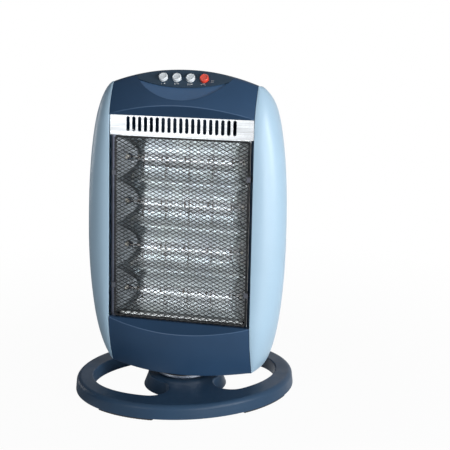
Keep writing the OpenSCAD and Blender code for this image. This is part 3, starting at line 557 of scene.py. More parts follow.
# Recess in the control face: radius, lowest point and floor; lower edge of the panel in it
SCOOP_R, SCOOP_Y, SCOOP_Z, LENS_R, LENS_Y = 88, -3, -2, 200, 21.5
# The buttons' row and spacing, and their holes in the hood and in the panel
ROW_Y, BUTTON_PITCH, HOOD_HOLE_R, PANEL_HOLE_R = 38, 21.6, 7.35, 7.05
# Upright hole in the head for the collar
NECK_HOLE_R, NECK_HOLE_TOP = 33, 48
# The chin's painted shade: how far back it reaches, and the band about its crease, which takes a
# painted highlight
CREASE_BACK, CREASE_BAND = 4 - GUARD_Y, (-0.9, 0.7)


def sag(r, d):
    """Drop of an arc of radius r at a distance d from its crest."""
    return r - sqrt(max(0.0, r * r - d * d))


def seam(z, arcs):
    """How far a seam has drawn in at a height, and its tilt there."""
    (top_r, top_start), (low_r, low_start) = arcs
    up, down = max(0, z - top_start), max(0, low_start - z)
    return sag(top_r, up) + sag(low_r, down), math.asin(up / top_r) - math.asin(down / low_r)


def seam_y(z):
    return -GUARD_Y + seam(z, FRONT_ARCS)[0]


def back_seam_y(z):
    return BACK_Y - seam(z, BACK_ARCS)[0]


def front_tilt(z):
    return seam(z, FRONT_ARCS)[1]


def back_tilt(z):
    return seam(z, BACK_ARCS)[1]


def side_y(z):
    return SIDE_Y + SIDE_SHIFT * (max(0, WIDE_Z - z) / (WIDE_Z - LOW_Z)) ** 2


def swell(z):
    """How far the side panels stand out at a height."""
    if z > WIDE_Z:
        return SWELL * sqrt(max(0, 1 - ((z - WIDE_Z) / (TOP_Z - WIDE_Z)) ** 2.4))
    return SWELL * sqrt(max(0, 1 - ((WIDE_Z - z) / (WIDE_Z - LOW_Z)) ** 2))


def bow(x):
    """Share of the front's and the back's bulge at x."""
    return 1 - (x / BOW_X) ** 2


def top_z(x):
    return TOP_Z + sag(TOP_R, BOW_X) - sag(TOP_R, abs(x))


def fall(y, z):
    """Drop of the top towards the back."""
    return FALL * max(0, y - FALL_Y) * min(1, max(0, z - FALL_Z) / (TOP_Z - FALL_Z)) ** 2


def front_y(x, z, bulge):
    low_r, low_start = FRONT_ARCS[1]
    return seam_y(z) - bow(x) * (bulge + 0.6 * sag(low_r, max(0, low_start - z)))


def front_arc(x, z0, z1, bulge, n, skin=0.0):
    return [(front_y(x, z, bulge) + skin * cos(front_tilt(z)), z - skin * sin(front_tilt(z)))
            for z in span(z0, z1, n)]


def back_arc(x, z0, z1, n, skin=0.0):
    return [(back_seam_y(z) + REAR_BULGE * bow(x) - skin * cos(back_tilt(z)),
             z - skin * sin(back_tilt(z))) for z in span(z0, z1, n)]


def crown(p, tilt, side, skin, steps=6):
    """Rounded edge from the wall at p to the top, on the given side of the wall."""
    r = CROWN / (1 - sin(tilt))
    return [(p[0] + side * (r * cos(tilt) - (r - skin) * cos(a)),
             p[1] - r * sin(tilt) + (r - skin) * sin(a))
            for a in [tilt + (pi / 2 - tilt) * i / steps for i in range(1, steps + 1)]]


def heel(p, side, skin, step):
    """Rounded edge from the wall at p to the foot, on the given side of the wall."""
    r = HEEL - skin
    return [(p[0] + side * HEEL - side * r * cos(a), p[1] - r * sin(a))
            for a in map(radians, range(15, 91, step))]


def hood_line(x, skin, fine=True):
    """Side view of the hood at x: rim, chin, front and crown."""
    z0 = WIN_TOP + max(1 + HOOD_CRESCENT * bow(x), skin + 1.4)
    z1 = top_z(x) - CROWN
    arc = front_arc(x, z0, z1, HOOD_BULGE, 22 if fine else 7, skin)
    head = [(RIM_Y, WIN_TOP + skin), (-GUARD_Y + skin * 0.7, WIN_TOP + skin), arc[0]]
    end = crown((seam_y(z1) - HOOD_BULGE * bow(x), z1), front_tilt(z1), 1, skin) \
        + [(TOP_JOINT[0], top_z(x) - skin)]
    if not fine:
        return head + arc[1:] + end
    return fillet(head + [arc[2]], EDGE_RADII)[:-1] + arc[2:] + end


def head_part(name, half, steps, line, material=None):
    """Solid of the leaning head through its side views line(x), from -half to half."""
    return mesh_object(name, *loft([[(x, y, z - fall(y, z)) for y, z in line(x)]
                                    for x in span(-half, half, steps)]), material, lean)


def hood_block():
    return head_part("hood_block", HALF, 96,
                     lambda x: hood_line(x, 0) + [(TOP_JOINT[0], 464)])


def face_disc(r, start, low, high, steps=240):
    """Disc on the control face with its lowest point at start."""
    return lathe([(r, low), (r, high)], steps, (0, start + r))


def button_x(i):
    return (i - 1.5) * BUTTON_PITCH


def button_holes(target, r, steps):
    for i in range(4):
        cut(target, lathe([(r, -20), (r, 20)], steps, (button_x(i), ROW_Y)), face_lean)


def neck_hole(target):
    cut(target, lathe([(NECK_HOLE_R, 0), (NECK_HOLE_R, NECK_HOLE_TOP)]))


face_normal = Vector(face_lean((0, 0, 1))) - Vector(face_lean((0, 0, 0)))
face_point = Vector(face_lean((0, 0, SCOOP_Z))) * 0.001


def on_recess(normal, centre):
    """Whether a face lies on the floor of the recess."""
    return (normal.dot(face_normal) > 0.9999
            and abs((centre - face_point).dot(face_normal)) < 0.0002)


def recess_edge(e):
    return len({on_recess(f.normal, f.calc_center_median()) for f in e.link_faces}) == 2


def crease(obj, line, side):
    """A darker copy of the navy on the chin on one side of a crease, as painted shade, and a
    lighter copy along the crease's edge, as a painted highlight.
    """
    first = len(obj.data.materials)
    obj.data.materials.append(chin_painted_shade)
    obj.data.materials.append(crease_painted_highlight)
    for f in obj.data.polygons:
        x, y, z = unleaned(f.center)
        if y > CREASE_BACK or abs(x) > HALF - 0.01:
            continue
        past = side * (z - line(x))
        if past < CREASE_BAND[0]:
            f.material_index = first
        elif past < CREASE_BAND[1]:
            f.material_index = first + 1


# Hood; its hollow stays 5 mm behind the control face
hood = hood_block()
space = head_part("hood_space", HALF + 2.5, 60, lambda x: hood_line(x, WALL, False)
                  + [(12, top_z(x) - WALL), (12, WIN_TOP - 10), (RIM_Y, WIN_TOP - 10)])
cut(space, box_part((-130, -10, -5), (130, 70, 35)), face_lean)
boolean(hood, space, "DIFFERENCE")
cut(hood, face_disc(SCOOP_R, SCOOP_Y, SCOOP_Z, 38), face_lean)
button_holes(hood, HOOD_HOLE_R, 48)
hood.name = "hood_shell"
# The recess floor takes the lighter copy of the navy, painted light
dress(hood, navy, scoop_painted_light)
for f in hood.data.polygons:
    f.material_index = int(on_recess(f.normal, f.center))
# Painted shade on the chin below the crease and a painted highlight along the crease
crease(hood, lambda x: WIN_TOP + max(1.4, 1 + HOOD_CRESCENT * bow(x)), 1)
smooth(hood, 50, extra_sharp=recess_edge)
piece(hood, "head", "navy_cover", "front_hood")

# Dark panel in the recess, between the recess's round edge and a flatter arc below the marks
panel = hood_block()
for disc in (face_disc(SCOOP_R - 0.4, SCOOP_Y, SCOOP_Z, 0),
             face_disc(LENS_R, LENS_Y, -3, 2, 480)):
    boolean(panel, mesh_object("disc", *disc, None, face_lean), "INTERSECT")
button_holes(panel, PANEL_HOLE_R, 64)
panel.name = "panel_inset"
dress(panel, dark)
smooth(panel, 12, weighted=False)
round_edges(panel, 0.35)
weigh(panel)
piece(panel, "head", "dark_panel", "control_panel")


# Printed marks on the panel: one to three heat waves with a dot, and a swing arrow
def ribbon(points, width):
    """Flat strip along (x, y) points on the panel."""
    verts = []
    for i, p in enumerate(points):
        a, b = points[max(0, i - 1)], points[min(len(points) - 1, i + 1)]
        d = np.array((b[0] - a[0], b[1] - a[1]), float)
        d /= np.linalg.norm(d)
        n = (-d[1] * width / 2, d[0] * width / 2)
        verts += [(p[0] + n[0], p[1] + n[1], PRINT_Z), (p[0] - n[0], p[1] - n[1], PRINT_Z)]
    return verts, [(2 * i, 2 * i + 1, 2 * i + 3, 2 * i + 2) for i in range(len(points) - 1)]


PRINT_Z = 0.06
marks = []
for i in range(3):
    for k in range(i + 1):
        x = button_x(i) - 1 + (k - i / 2) * 1.9
        marks.append(ribbon([(x + 0.35 * sin(t * 2 * pi), 26.2 + 3.0 * t)
                             for t in span(0, 1, 10)], 0.55))
    x = button_x(i) + 3.6
    marks.append(ribbon([(x - 0.9, 27.7), (x + 0.9, 27.7)], 1.7))
x = button_x(3)
arc = [(x + 4.2 * sin(t), 24.8 + 4.2 * cos(t)) for t in span(-0.8, 0.8, 10)]
marks.append(ribbon(arc, 0.5))
for s, (px, py) in ((-1, arc[0]), (1, arc[-1])):
    marks.append(([(px + s * 1.0, py - 0.9, PRINT_Z), (px - s * 0.2, py + 0.7, PRINT_Z),
                   (px - s * 0.9, py - 0.7, PRINT_Z)], [(0, 1, 2)]))
for y in (36.0, 33.2):
    marks.append(ribbon([(x + 10.6, y), (x + 13.4, y)], 0.55))
    marks.append(ribbon([(x + 14.3, y), (x + 15.0, y)], 0.9))
printed = mesh_object("panel_marks", *join(*marks), print_white, face_lean)
piece(printed, "head", "grey_button")


def button(i, material, slot, node):
    """Push button: a turned cap with a soft rim and a shallow dish, over the stem and flange."""
    profile = [(0, -13), (2.5, -13), (2.5, -6.8), (8.15, -6.8), (8.15, -5.3), (6.75, -5.3),
               (6.75, 3.6)]
    profile += [(5.55 + 1.2 * cos(a), 4.35 + 1.2 * sin(a)) for a in span(0, pi / 2, 6)]
    profile += [(5.2, 5.55), (4.9, 5.36), (4.2, 5.2), (2.4, 5.12), (0, 5.1)]
    made = mesh_object("cap_%d" % (i + 1), *lathe(profile, 72, (button_x(i), ROW_Y)), material,
                       face_lean)
    smooth(made, 40)
    piece(made, "button_%d" % (i + 1), slot, node)


for i in range(3):
    button(i, cap_grey, "grey_button", "heat_button_%d" % (i + 1))
button(3, cap_red, "red_button", "swing_button")


# Side panels: swelling shells with a thin rolled edge at both seams
def panel_arc(z, skin, n):
    """Level section at a height, from the front seam to the back seam."""
    w = max(0.1, swell(z) - skin)
    y0, y1, ym = seam_y(z) + skin, back_seam_y(z) - skin, side_y(z)
    return [(PANEL_X + w * sin(u), ym - cos(u) * (ym - y0 if u < pi / 2 else y1 - ym))
            for u in [pi * i / n for i in range(n + 1)]]


def side_panel(mirror):
    rings = []
    for i in range(121):
        a = radians(-86 + 172 * i / 120)
        z = WIDE_Z + sin(a) * (WIDE_Z - LOW_Z if a < 0 else TOP_Z - WIDE_Z)
        outer, inner = panel_arc(z, 0, 56), panel_arc(z, WALL, 40)[::-1]
        last = fillet(outer + inner[:1], [0] * (len(outer) - 1) + [PANEL_EDGE, 0], 3)[1:-1]
        first = fillet([inner[-1], outer[0], outer[1]], [0, PANEL_EDGE, 0], 3)[1:-1]
        rings.append([(mirror * x, y, z - fall(y, z)) for x, y in first + last + inner])
    return loft(rings)


PANEL_EDGE = 0.5
for mirror, hand in ((1, "right"), (-1, "left")):
    flank = mesh_object("flank_" + hand, *side_panel(mirror), blue, lean)
    smooth(flank, 40)
    piece(flank, "head", "blue_panel", hand + "_side_panel")


# Lower cover
def lower_line(x, skin):
    """Side view at x: rim, chin, front, then the skirt outside or a rounded corner inside."""
    z0 = WIN_LOW - max(1 + LOWER_CRESCENT * bow(x), skin + 1.4)
    head = [(RIM_Y, WIN_LOW - skin), (-GUARD_Y + skin * 0.7, WIN_LOW - skin)]
    if skin:
        z1 = LOW_Z + HEEL
        return head + front_arc(x, z0, z1 + 2, LOWER_BULGE, 7, skin) \
            + heel((front_y(x, z1, LOWER_BULGE), z1), 1, skin, 25) + [(LOW_JOINT[0], LOW_Z + skin)]
    z1 = LOW_Z - max(0.6, 6 * bow(x))
    y1 = front_y(x, z1, LOWER_BULGE)
    arc = front_arc(x, z0, z1 + 1.4, LOWER_BULGE, 18)
    skirt = [(y1 + y, z1 + z) for y, z in (
        (0.12, 0.75), (0.42, 0.32), (0.85, 0.08), (1.4, 0), (3.0, 0), (3.4, 0.2))]
    return fillet(head + [arc[0], arc[2]], EDGE_RADII)[:-1] + arc[2:] + skirt \
        + [(y1 + 3.8, LOW_Z), (LOW_JOINT[0], LOW_Z)]


lower = head_part("lower_shell", HALF, 96,
                  lambda x: lower_line(x, 0) + lower_line(x, WALL)[::-1], navy)
neck_hole(lower)
# Painted shade on the chin above the crease and a painted highlight along the crease
crease(lower, lambda x: WIN_LOW - max(1.4, 1 + LOWER_CRESCENT * bow(x)), -1)
smooth(lower, 35)
piece(lower, "head", "navy_cover", "lower_front_cover")


# Rear cover
def back_line(x, skin, fine=True):
    """Side view at x: crown, back and the rounded corner at the foot."""
    z0, z1, bulge = top_z(x) - CROWN, LOW_Z + HEEL, REAR_BULGE * bow(x)
    return [(TOP_JOINT[1], top_z(x) - skin)] \
        + crown((back_seam_y(z0) + bulge, z0), back_tilt(z0), -1, skin)[::-1] \
        + back_arc(x, z0, z1 + 2, 70 if fine else 24, skin) \
        + heel((back_seam_y(z1) + bulge, z1), -1, skin, 15 if fine else 25) \
        + [(LOW_JOINT[1], LOW_Z + skin)]


VENT_X, VENT_Z = (-69, -23, 23, 69), (*range(290, 390, 10), *range(130, 180, 10))
SCREW_X, SCREW_Z, GRIP_Z, INLET = 106, (110, 250, 400), 418, (45, 62)
rear = head_part("rear_shell", HALF, 72,
                 lambda x: back_line(x, 0) + back_line(x, WALL, False)[::-1], navy)
grip_walls = mesh_object("grip_walls", *box_part((-57.6, 27.4, 402.4), (57.6, 53.4, 433.6)), None,
                         lean)
boolean(rear, grip_walls, "UNION")
# Vents, screw places, the opening of the grip and the stepped hole of the inlet
cuts = [prism_y(slot_ring(38, 4), (x, z), 30, 72) for x in VENT_X for z in VENT_Z]
cuts += [y_lathe([(4, 41.4), (4, 62)], (s * SCREW_X, z)) for s in (-1, 1) for z in SCREW_Z]
cuts.append(prism_y([(-52, -13), (52, -13), (55, -10), (55, 10), (52, 13), (-52, 13), (-55, 10),
                     (-55, -10)], (0, GRIP_Z), 30, 76))
cuts.append(y_lathe([(6.6, 20), (6.6, 43), (10.4, 43), (10.4, 70)], INLET))
cut(rear, join(*cuts), lean)
neck_hole(rear)
smooth(rear, 35)
piece(rear, "head", "navy_cover", "rear_cover")

# --------------------
# Base: drafted wall, rounded shoulder, two windows with rolled edges, tapered drum
# --------------------
BASE_L, BASE_D, RING_L, RING_D = 175.0, 145.7, 147.0, 103.7
BRIDGE, CORNER, DRUM_R, BORE = 36, 28, 59, 15.1
RING_TOP, SHOULDER_Z, WINDOW_ROLL = 24.0, 16, 2.2
DRUM_SIDE, HUB_R, WELL_R = [(66, 3), (59.02, 20.8)], 51, 50


def oval(inset, z):
    return [((BASE_L - inset) * cos(a), (BASE_D - inset) * sin(a), z) for a in circle(240)]


def oval_r(inset, a):
    return 1 / sqrt((cos(a) / (BASE_L - inset)) ** 2 + (sin(a) / (BASE_D - inset)) ** 2)


def oval_block(name, profile):
    return mesh_object(name, *loft([oval(inset, z) for inset, z in profile]), None, turned)


def shoulder(inset, r, steps):
    return [(inset + r * (1 - cos(a)), SHOULDER_Z + r * sin(a)) for a in span(0, pi / 2, steps)]


def window_points():
    """Outline of the window on the +X side with its outward normals: along the ring's oval, round
    two corners to the drum, along the drum, and round two corners back."""
    y, cx = 60.0, BRIDGE + CORNER
    for _ in range(60):  # moves the outer corner until it touches the oval
        ts = np.linspace(0, pi / 2, 4001)
        d = np.hypot(RING_L * np.cos(ts) - cx, RING_D * np.sin(ts) - y)
        y += (d.min() - CORNER) * 0.7
        t0 = float(ts[d.argmin()])
    a1 = math.atan2(RING_D * sin(t0) - y, RING_L * cos(t0) - cx)
    cy = sqrt((DRUM_R + CORNER) ** 2 - cx ** 2)
    drum_a = math.atan2(cy, cx)
    out = []
    for t in span(-t0, t0, 72)[:-1]:
        n = np.array((cos(t) / RING_L, sin(t) / RING_D))
        n /= np.linalg.norm(n)
        out.append((RING_L * cos(t), RING_D * sin(t), n[0], n[1]))
    for at, turns, r, mid, way in (
            (y, span(a1, pi, 18), CORNER, cx, 1), (cy, span(pi, drum_a + pi, 12), CORNER, cx, 1),
            (0, span(drum_a, -drum_a, 36), DRUM_R, 0, -1),
            (-cy, span(pi - drum_a, pi, 12), CORNER, cx, 1),
            (-y, span(pi, 2 * pi - a1, 18), CORNER, cx, 1)):
        out += [(mid + r * cos(a), at + r * sin(a), way * cos(a), way * sin(a))
                for a in turns[:-1]]
    return out


WINDOW = window_points()


def window_ring(grow, z, side):
    return [(side * (x + nx * grow), side * (y + ny * grow), z) for x, y, nx, ny in WINDOW]


def window_cut(side):
    """Cutter of a window, rolled outwards at the top of the ring."""
    levels = [(0, -2)]
    levels += [(WINDOW_ROLL * (1 - cos(a)), RING_TOP - WINDOW_ROLL + WINDOW_ROLL * sin(a))
               for a in span(0, pi / 2, 7)]
    return loft([window_ring(grow, z, side) for grow, z in levels + [(WINDOW_ROLL, RING_TOP + 6)]])


ring = oval_block("base_moulding", [(0.0, 3.0), (0.55, 9), (1.2, 14.5)] + shoulder(1.4, 8, 14))
hollow = oval_block("hollow", [(3.0, 2.0)] + shoulder(4.4, 5, 6))
for side in (1, -1):
    cut(ring, window_cut(side), turned)
    cut(hollow, loft([window_ring(3.0, z, side) for z in (0, 30)]), turned)
cut(hollow, lathe([(HUB_R, -2), (HUB_R, 30)], 128), turned)
boolean(ring, hollow, "DIFFERENCE")
boolean(ring, mesh_object("drum", *lathe(DRUM_SIDE, 160), None, turned), "UNION")
cut(ring, lathe([(WELL_R, 2), (WELL_R, 21)], 128), turned)
cut(ring, lathe([(BORE, 1), (BORE, 30)], 64), turned)
dress(ring, slate)
smooth(ring, 32)
piece(ring, "base", "slate_base", "base_shell")

# Rubber strips under the ring, with a ribbed sole and drawn-in ends
strips = []
for middle in (45, 135, 225, 315):
    rows = []
    for k in range(41):
        a = radians(middle - 17 + 34 * k / 40)
        end = 0.6 if k in (0, 40) else 0.0
        near, far = oval_r(10, a) + end, oval_r(1, a) - end
        sole = (0.0 if k % 2 else 0.35) + end
        rows.append([(r * cos(a), r * sin(a), z) for r, z in (
            (near, 3.0), (far, 3.0), (far, 0.9), (far - 0.9, sole), (near + 0.9, sole),
            (near, 0.9))])
    strips.append(loft(rows))
soles = mesh_object("foot_strips", *join(*strips), rubber, turned)
smooth(soles, 40)
piece(soles, "base", "rubber", "base_feet")

# Turntable collar under the head, with a bright rim round its lower edge (limits in metres)
RIM_FROM, RIM_TOP = 0.0436, 0.0308
profile = [(BORE, 26.8), (43.2, 26.8)]
profile += [(44.0 + 2.0 * cos(a), 28.8 + 2.0 * sin(a)) for a in span(-pi / 2, 0, 6)]
profile += [(44.8 + 1.2 * cos(a), 31.8 + 1.2 * sin(a)) for a in span(0, pi / 2, 5)]
profile += [(34, 33), (32, 34.4), (32, 48), (20, 48), (20, 60), (BORE, 60), (BORE, 26.8)]
collar = mesh_object("turntable_disc", *lathe(profile, 128, caps=False), black)
collar.data.materials.append(glint)
for f in collar.data.polygons:
    f.material_index = int(math.hypot(*f.center[:2]) > RIM_FROM and f.center.z < RIM_TOP)
smooth(collar, 35)
piece(collar, "head", "dark_base", "turntable_collar")

# --------------------
# Reflector: one pressed sheet with parabolic troughs and a slotted strip
# --------------------
LIP_Y, LIP_Z, STRIP_X, STRIP_TOP = -38.6, 403.3, 114, 433.6
SLOTS, SLOT_PITCH, SLOT_SHIFT, SLOT_Z, SLOT_SIZE = 19, 9.42, -0.2, 420.6, (24.0, 6.3)
SLOT_WALL, SHEET, END_GAP, END_SLANT = 0.7, 0.6, 0.3, 27


def slotted_strip():
    """Flat strip above the tubes, filled round its slots, with the walls of the slots."""
    b = bmesh.new()
    loops = [[(-STRIP_X, STRIP_TOP), (-STRIP_X, LIP_Z), (STRIP_X, LIP_Z), (STRIP_X, STRIP_TOP)]]
    for i in range(SLOTS):
        cx = (i - (SLOTS - 1) / 2) * SLOT_PITCH + SLOT_SHIFT
        loops.append([(cx + across, SLOT_Z + up) for up, across in slot_ring(*SLOT_SIZE)])
    edges = []
    for points in loops:
        vs = [b.verts.new((x * 0.001, 0, z * 0.001)) for x, z in points]
        edges += [b.edges.new(ends) for ends in zip(vs, vs[1:] + vs[:1])]
    bmesh.ops.triangle_fill(b, use_beauty=True, use_dissolve=False, edges=edges)
    b.verts.ensure_lookup_table()
    flat = [(v.co.x * 1000, LIP_Y, v.co.z * 1000) for v in b.verts], [
        tuple(v.index for v in f.verts) for f in b.faces]
    b.free()
    return join(flat, *[loft([[(x, y, z) for x, z in points] for y in (LIP_Y, LIP_Y + SLOT_WALL)],
                             caps=False) for points in loops[1:]])


def trough_y(z):
    k = (RIDGE - z) / PITCH
    u = 2 * (k - math.floor(k)) - 1
    return STRIP_Y + 1 + DEPTH * (1 - u * u)


def pressed_rows():
    """Side view of the sheet below the strip: fold, four troughs with their ridges, foot."""
    line = [(LIP_Y, LIP_Z), (LIP_Y + 0.4, LIP_Z - 0.5), (STRIP_Y - 0.4, LIP_Z - 0.5),
            (STRIP_Y, RIDGE + 0.8)]
    for k in range(4):
        top = RIDGE - k * PITCH
        line += [(trough_y(z), z) for z in [top - PITCH * u for u in span(0, 1, 36)[1:-1]]]
        if k < 3:
            line.append((STRIP_Y + 1.2, top - PITCH))
    return line + [(STRIP_Y + 1, 122), (STRIP_Y, 120), (STRIP_Y, 108)]


def folded_sheet():
    """The sheet between the end plates, which slant in over the depth of a trough."""
    rows = []
    for y, z in pressed_rows():
        e = END_X - END_GAP - (max(y, STRIP_Y) - STRIP_Y) * END_SLANT / DEPTH
        rows.append([(e * u, y, z) for u in span(-1, 1, 16)])
    return loft(rows, closed=False, caps=False)


sheet = mesh_object("reflector_sheet", *join(slotted_strip(), folded_sheet()), polished, lean)
smooth(sheet, 30, weighted=False)
# The flat strip takes the darker copy of the polish, painted shade
sheet.data.materials.append(strip_painted_shade)
for f in sheet.data.polygons:
    if abs(unleaned(f.center)[1] - LIP_Y) < 0.1:
        f.use_smooth = False
        f.material_index = 1
thick = sheet.modifiers.new("thickness", "SOLIDIFY")
thick.thickness = SHEET * 0.001
thick.offset = -1 if sheet.data.polygons[0].normal.y < 0 else 1
piece(sheet, "head", "polished_sheet", "reflector")

# --------------------
# Guard: woven diamond mesh on a rod frame
# --------------------
# Diamonds of the weave, radius of its wires, how far they swing to and fro, and middle planes
CELL_W, CELL_H, WIRE_R, SWING = 11.1, 5.9, 0.6, 0.32
MESH_Y, FRAME_Y = -36.4, -34.0
GUARD_X, GUARD_LOW, GUARD_HIGH = 108.3, 114.4, 402.3
# Middle line of the frame's rod, its corners and its radius
ROD_X, ROD_LOW, ROD_HIGH, ROD_CORNER, ROD_R = 106.7, 116.1, 400.5, 4.0, 1.8


def woven_wire(p, q, side, phase):
    """Round wire from p to q in the guard's plane, passing over and under the others."""
    length = math.hypot(q[0] - p[0], q[1] - p[1])
    d = ((q[0] - p[0]) / length, (q[1] - p[1]) / length)
    n = max(2, int(length / (math.hypot(CELL_W, CELL_H) / 4)) + 1)
    rings = []
    for t in span(0, length, n):
        x, z = p[0] + d[0] * t, p[1] + d[1] * t
        y = MESH_Y + SWING * cos(pi * (x / (CELL_W / 2) + phase)) * side
        rings.append([(x - d[1] * WIRE_R * cos(a), y + WIRE_R * sin(a), z + d[0] * WIRE_R * cos(a))
                      for a in circle(6)])
    return loft(rings)


def clipped(c, slope):
    """Ends inside the guard of the line z = c + slope x, or None if it hardly meets the guard."""
    low, high = sorted([(GUARD_LOW - c) / slope, (GUARD_HIGH - c) / slope])
    a, b = max(-GUARD_X, low), min(GUARD_X, high)
    return ((a, c + slope * a), (b, c + slope * b)) if b - a > 2 else None


slope = CELL_H / CELL_W
wires = []
mid = (GUARD_LOW + GUARD_HIGH) / 2
reach = int((GUARD_HIGH - GUARD_LOW) / 2 / CELL_H + GUARD_X * slope / CELL_H) + 2
for sign in (1, -1):
    for k in range(-reach, reach + 1):
        ends = clipped(mid + k * CELL_H, sign * slope)
        if ends:
            wires.append(woven_wire(*ends, sign, k % 2))
guard = mesh_object("guard_weave", *join(*wires), wire, lean)
smooth_all(guard)
piece(guard, "head", "guard_wire", "guard_mesh")


def rod(path):
    """Closed rod along a ring of (x, z) points."""
    rings = []
    for i, (x, z) in enumerate(path):
        a, b = path[i - 1], path[(i + 1) % len(path)]
        d = np.array((b[0] - a[0], b[1] - a[1]), float)
        d /= np.linalg.norm(d)
        rings.append([(x - d[1] * ROD_R * cos(t), FRAME_Y + ROD_R * sin(t),
                       z + d[0] * ROD_R * cos(t)) for t in circle(14)])
    return loft(rings + rings[:1], caps=False)


right, low, high = ROD_X - ROD_CORNER, ROD_LOW + ROD_CORNER, ROD_HIGH - ROD_CORNER
path = [(x + ROD_CORNER * cos(a), z + ROD_CORNER * sin(a))
        for x, z, start in ((right, high, 0), (-right, high, 90), (-right, low, 180),
                            (right, low, 270))
        for a in map(radians, range(start, start + 91, 10))]
frame_rod = mesh_object("guard_rod", *rod(path), rod_wire, lean)
smooth_all(frame_rod)
piece(frame_rod, "head", "guard_wire", "guard_frame")

# --------------------
# Tubes: quartz walls, coiled filaments with supports, ceramic caps
# --------------------
TUBE_Y, TUBE_X, TUBE_R, TUBE_BORE = STRIP_Y + 18, 103.8, 5.0, 4.0
TUBE_Z = [RIDGE - (i - 0.5) * PITCH for i in range(1, 5)]
# Half length, radius, wire radius, number of turns and steps per turn of a coil
COIL_X, COIL_R, COIL_WIRE, COIL_TURNS, COIL_STEPS = 92, 1.25, 0.3, 74, 12


def tube_lathe(profile, z, steps=40, caps=True):
    """Turned about the axis of the tube at a height, through (x, r) points."""
    return loft([[(x, TUBE_Y + r * cos(a), z + r * sin(a)) for a in circle(steps)]
                 for x, r in profile], caps=caps)


for i, z in enumerate(TUBE_Z, 1):
    outside = [(x, TUBE_R) for x in (-TUBE_X, -60, 0, 60, TUBE_X)]
    inside = [(x, TUBE_BORE) for x in (TUBE_X, 0, -TUBE_X)]
    wall = tube_lathe(inside[-1:] + outside + inside, z, caps=False)
    tube = mesh_object("quartz_%d" % i, *wall, quartz, lean)
    smooth(tube, 40, weighted=False)
    piece(tube, "head", "quartz", "halogen_tube_%d" % i)

coils = []
for z in TUBE_Z:
    rings = []
    for k in range(COIL_TURNS * COIL_STEPS + 1):
        a = 2 * pi * k / COIL_STEPS
        out, along = np.array((0, cos(a), sin(a))), np.array((1, 0, 0))
        x = -COIL_X + 2 * COIL_X * k / (COIL_TURNS * COIL_STEPS)
        centre = np.array((x, TUBE_Y, z)) + COIL_R * out
        rings.append([tuple(centre + COIL_WIRE * (cos(t) * out + sin(t) * along))
                      for t in circle(5)])
    coils.append(loft(rings))
    coils += [tube_lathe([(s * 91, 0.5), (s * 104, 0.5)], z, 10) for s in (-1, 1)]
    for x in range(-76, 77, 38):
        a, b = x - 0.3, x + 0.3
        coils.append(tube_lathe([(a, 1.5), (a, 3.7), (b, 3.7), (b, 1.5), (a, 1.5)], z, 24,
                                caps=False))
glow = mesh_object("filament_coils", *join(*coils), filament, lean)
smooth_all(glow)
piece(glow, "head", "filament", "filaments")

square = fillet([(7, 0), (7, 7), (-7, 7), (-7, -7), (7, -7), (7, 0)],
                [0, 1.6, 1.6, 1.6, 1.6, 0], 4)[:-1]
caps = []
for z in TUBE_Z:
    for s in (-1, 1):
        caps.append(loft([[(s * x, TUBE_Y + across * k, z + up * k) for across, up in square]
                          for x, k in ((98.8, 0.93), (99.4, 1.0), (107.7, 1.0), (108.3, 0.93))]))
        caps.append(tube_lathe([(s * 92.6, 3.0), (s * 93, 3.8), (s * 99.2, 3.8)], z, 24))
sockets = mesh_object("tube_caps", *join(*caps), ceramic, lean)
smooth(sockets, 30)
piece(sockets, "head", "ceramic", "ceramic_caps")

# --------------------
# Everything that stays as its solid: its own finish and fine rounded edges
# --------------------
kept = (
    (steel, "neck_tube neck_clip slotted_arm chassis_plate tube_holders"),
    (steel, "motor_bracket swing_motor"), (screw_metal, "base_screws cover_screws"),
    (black, "base_cover tip_switch switch_bank thermal_cutout"),
    (nylon, "thrust_washer tip_plunger crank_arm"),
    # The left end plate in painted shade, the right in painted light
    (end_shaded_metal, "reflector_end_left"), (end_lit_metal, "reflector_end_right"),
    (clip_metal, "guard_clips"), (block, "terminal_block"), (rubber, "cord_inlet"))
for material, names in kept:
    for name in names.split():
        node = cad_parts[name]
        dress(node, material)
        weld = node.modifiers.new("weld", "WELD")
        weld.merge_threshold = 0.00001
        round_edges(node, 0.2)

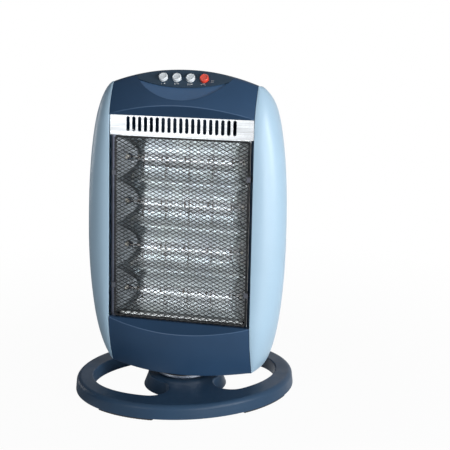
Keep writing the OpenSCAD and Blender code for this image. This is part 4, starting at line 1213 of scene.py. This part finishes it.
# --------------------
# Floor, light and air
# --------------------
floor_mesh = bpy.data.meshes.new("floor")
b = bmesh.new()
bmesh.ops.create_grid(b, x_segments=8, y_segments=8, size=40)
b.to_mesh(floor_mesh)
b.free()
floor = add_object("floor", floor_mesh)
floor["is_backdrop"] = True


def surroundings(tree, place):
    """Brightness of the background as each ray sees it: white to the camera, and to glossy and
    transmission rays white with a dimmer left side; nothing to the rest."""
    rays = add_node(tree, "ShaderNodeLightPath").outputs
    unit = add_node(tree, "ShaderNodeVectorMath", [(0, place)])
    unit.operation = "NORMALIZE"
    split = add_node(tree, "ShaderNodeSeparateXYZ", [(0, unit.outputs[0])])
    back = math_node(tree, "MULTIPLY", split.outputs["Y"], 0.25)
    across = math_node(tree, "SUBTRACT", split.outputs["X"], back)
    side = add_node(tree, "ShaderNodeMapRange", [("Value", across)], From_Min=-0.68,
                    From_Max=-0.44, To_Min=0.15, To_Max=1.0)
    side.interpolation_type = "SMOOTHSTEP"
    bounced = math_node(tree, "MAXIMUM", rays["Is Glossy Ray"], rays["Is Transmission Ray"])
    dimmed = math_node(tree, "MULTIPLY", bounced, side.outputs[0])
    return math_node(tree, "MAXIMUM", rays["Is Camera Ray"], dimmed)


def blended(tree, factor, first, second, output):
    """Two shaders mixed by a factor, as the surface."""
    blend = add_node(tree, "ShaderNodeMixShader", [
        (0, factor), (1, first.outputs[0]), (2, second.outputs[0])])
    tree.links.new(blend.outputs[0], tree.nodes[output].inputs["Surface"])


n = Nodes("floor")
n.tree.nodes.remove(n.bsdf)
diffuse = n.add("ShaderNodeBsdfDiffuse", Color=(0.55, 0.55, 0.55, 1))
white = n.add("ShaderNodeEmission", Strength=1.0)
centre = n.add("ShaderNodeVectorMath", [("Vector", n.coords)])
centre.operation = "LENGTH"
# Near the object a small share of the floor is diffuse, and holds the shadow
fade = n.spread(centre.outputs["Value"], 0.965, 1.0, 0.3, 0.9)
blended(n.tree, n.math("MULTIPLY", surroundings(n.tree, n.coords), fade), diffuse,
        white, "Material Output")
floor_mesh.materials.append(n.mat)

world = bpy.data.worlds.new("air")
bpy.context.scene.world = world
world.use_nodes = True
tree = world.node_tree
air = tree.nodes["Background"]
air.inputs["Color"].default_value = (0.66, 0.82, 1.0, 1)
air.inputs["Strength"].default_value = 0.06
card = add_node(tree, "ShaderNodeBackground", Color=(1, 1, 1, 1))
around = add_node(tree, "ShaderNodeTexCoord").outputs["Generated"]
blended(tree, surroundings(tree, around), air, card, "World Output")


def area(name, at, aim, size, power):
    light = bpy.data.lights.new(name, "AREA")
    light.shape = "RECTANGLE"
    light.size, light.size_y = size
    light.energy = power
    add_aimed(name, light, at, Vector(aim) - Vector(at))


area("key_right", (2.1, -1.0, 0.75), (0, 0, 0.26), (0.8, 1.1), 41)
area("front", (1.6, -2.1, 0.22), (0, 0, 0.08), (0.9, 0.4), 20)
area("bands", (-0.78, -2.35, 1.02), (0, 0, 0.26), (0.9, 0.9), 7)
area("troughs", (-0.66, -1.9, 0.42), (0, 0, 0.42), (0.56, 0.3), 2.5)
area("rim_left", (-2.2, 0.8, 0.40), (0, 0, 0.22), (0.6, 0.9), 6)

low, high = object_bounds()
